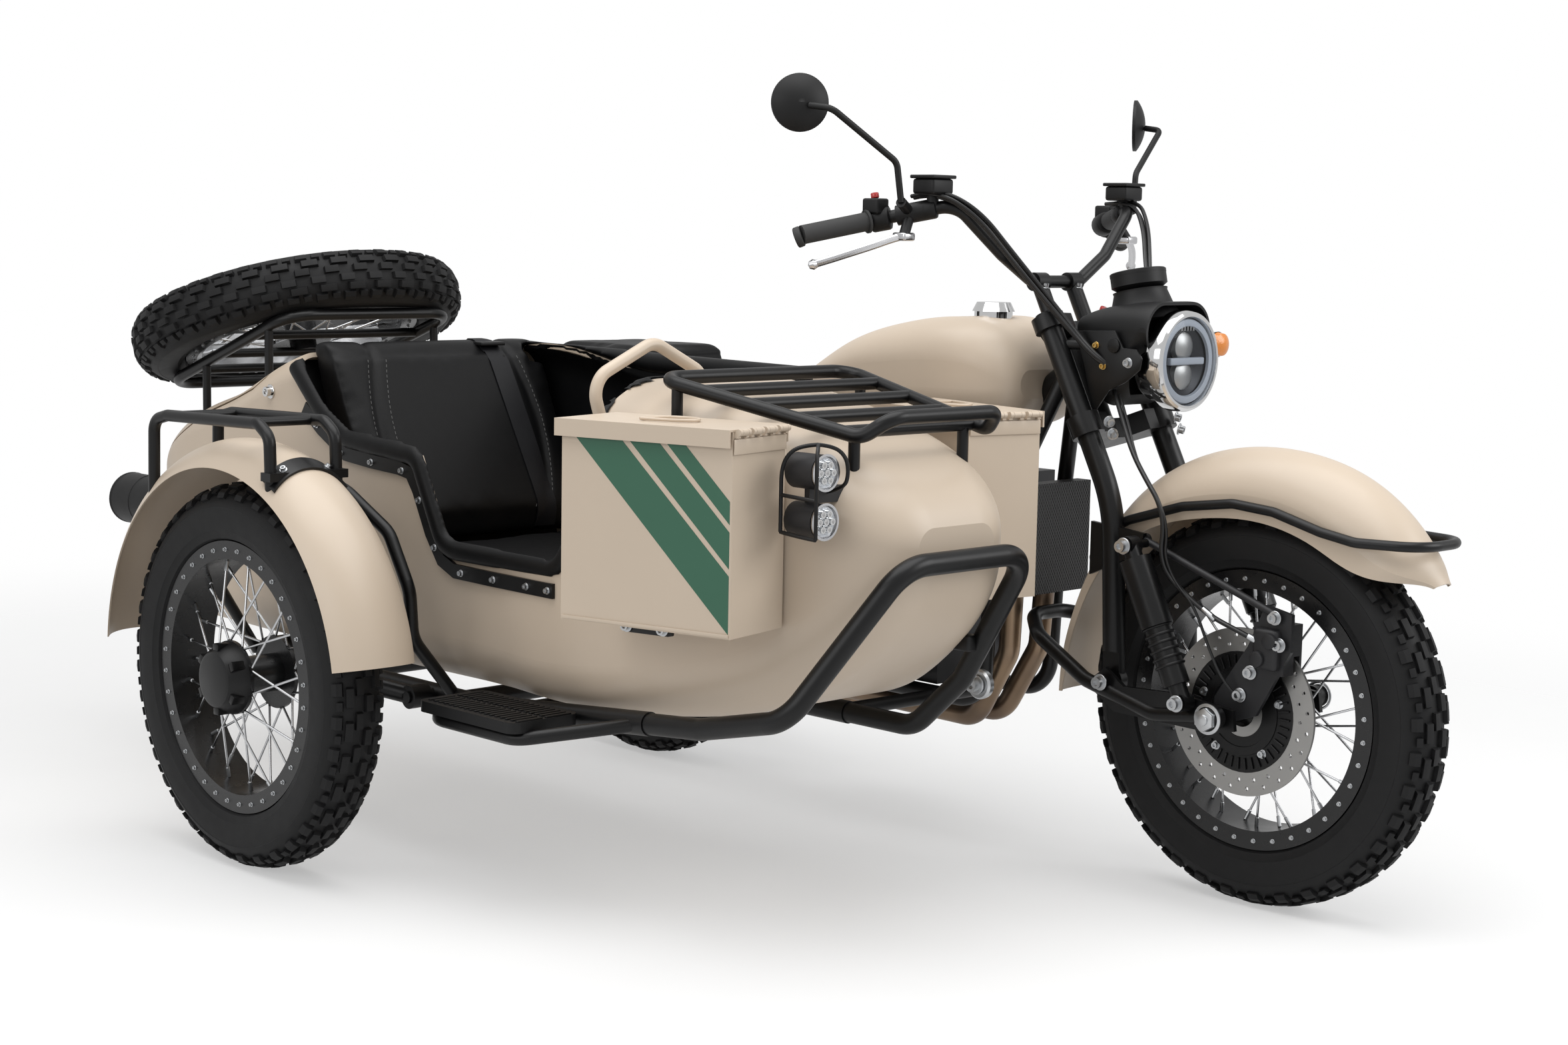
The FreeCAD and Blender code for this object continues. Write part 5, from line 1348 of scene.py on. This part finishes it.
OPERATORS = [
    make_operator("finishes", "Frame finishes", "Gives every piece of the frame its material", finish_frame),
    make_operator("tyres", "Tyres", "Replaces the plain tyres with treaded ones", add_tyres),
    make_operator("wheels", "Wheel details", "Adds rim bolts, nipples, rotors and the hub cover",
                  add_rim_bolts, add_brakes, add_hub_cover),
    make_operator("padding", "Padding", "Replaces the plain soft solids with padded covers",
                  add_padding, add_lining),
    make_operator("boxes", "Boxes", "Adds the stripes, bands, feet and handles of the boxes", add_boxes),
    make_operator("body_trim", "Body trim", "Adds the cockpit band, screws, rack shoe, lamps and step ribs",
                  add_body_trim, add_rack_shoe, add_spot_lamps, add_step_pads, add_tail_lamp),
    make_operator("front", "Front end", "Adds the headlamp, its brackets, fork bolts and shock boots",
                  add_lamp, add_lamp_brackets, add_fork_bolts, add_shock_boots),
    make_operator("controls", "Controls", "Adds cables, hose, switches and the instrument's face",
                  add_cables, add_bar_gear, add_instrument_face),
    make_operator("lower", "Lower pieces", "Adds engine covers and the sidecar's lower mounts",
                  add_engine_covers, add_lower_mounts),
    make_operator("stage", "Stage", "Adds the floor, the lights and the camera", add_stage),
]


class OUTFIT_PT_panel(bpy.types.Panel):
    """Lists the outfit's operators and its sizes"""
    bl_label = "Sidecar outfit"
    bl_idname = "OUTFIT_PT_panel"
    bl_space_type = "VIEW_3D"
    bl_region_type = "UI"
    bl_category = "Outfit"

    def draw(self, context):
        for group in (context.scene.outfit_colours, context.scene.outfit_sizes):
            for name in group.__annotations__:
                self.layout.prop(group, name)
        for operator in OPERATORS:
            self.layout.operator(operator.bl_idname)


CLASSES = [OutfitColours, OutfitSizes] + OPERATORS + [OUTFIT_PT_panel]


def register():
    for item in CLASSES:
        bpy.utils.register_class(item)
    bpy.types.Scene.outfit_colours = bpy.props.PointerProperty(type=OutfitColours)
    bpy.types.Scene.outfit_sizes = bpy.props.PointerProperty(type=OutfitSizes)


def unregister():
    del bpy.types.Scene.outfit_sizes
    del bpy.types.Scene.outfit_colours
    for item in reversed(CLASSES):
        bpy.utils.unregister_class(item)


def main():
    register()
    for operator in OPERATORS:
        getattr(bpy.ops.outfit, operator.bl_idname.split(".")[1])()


if __name__ == "__main__":
    main()
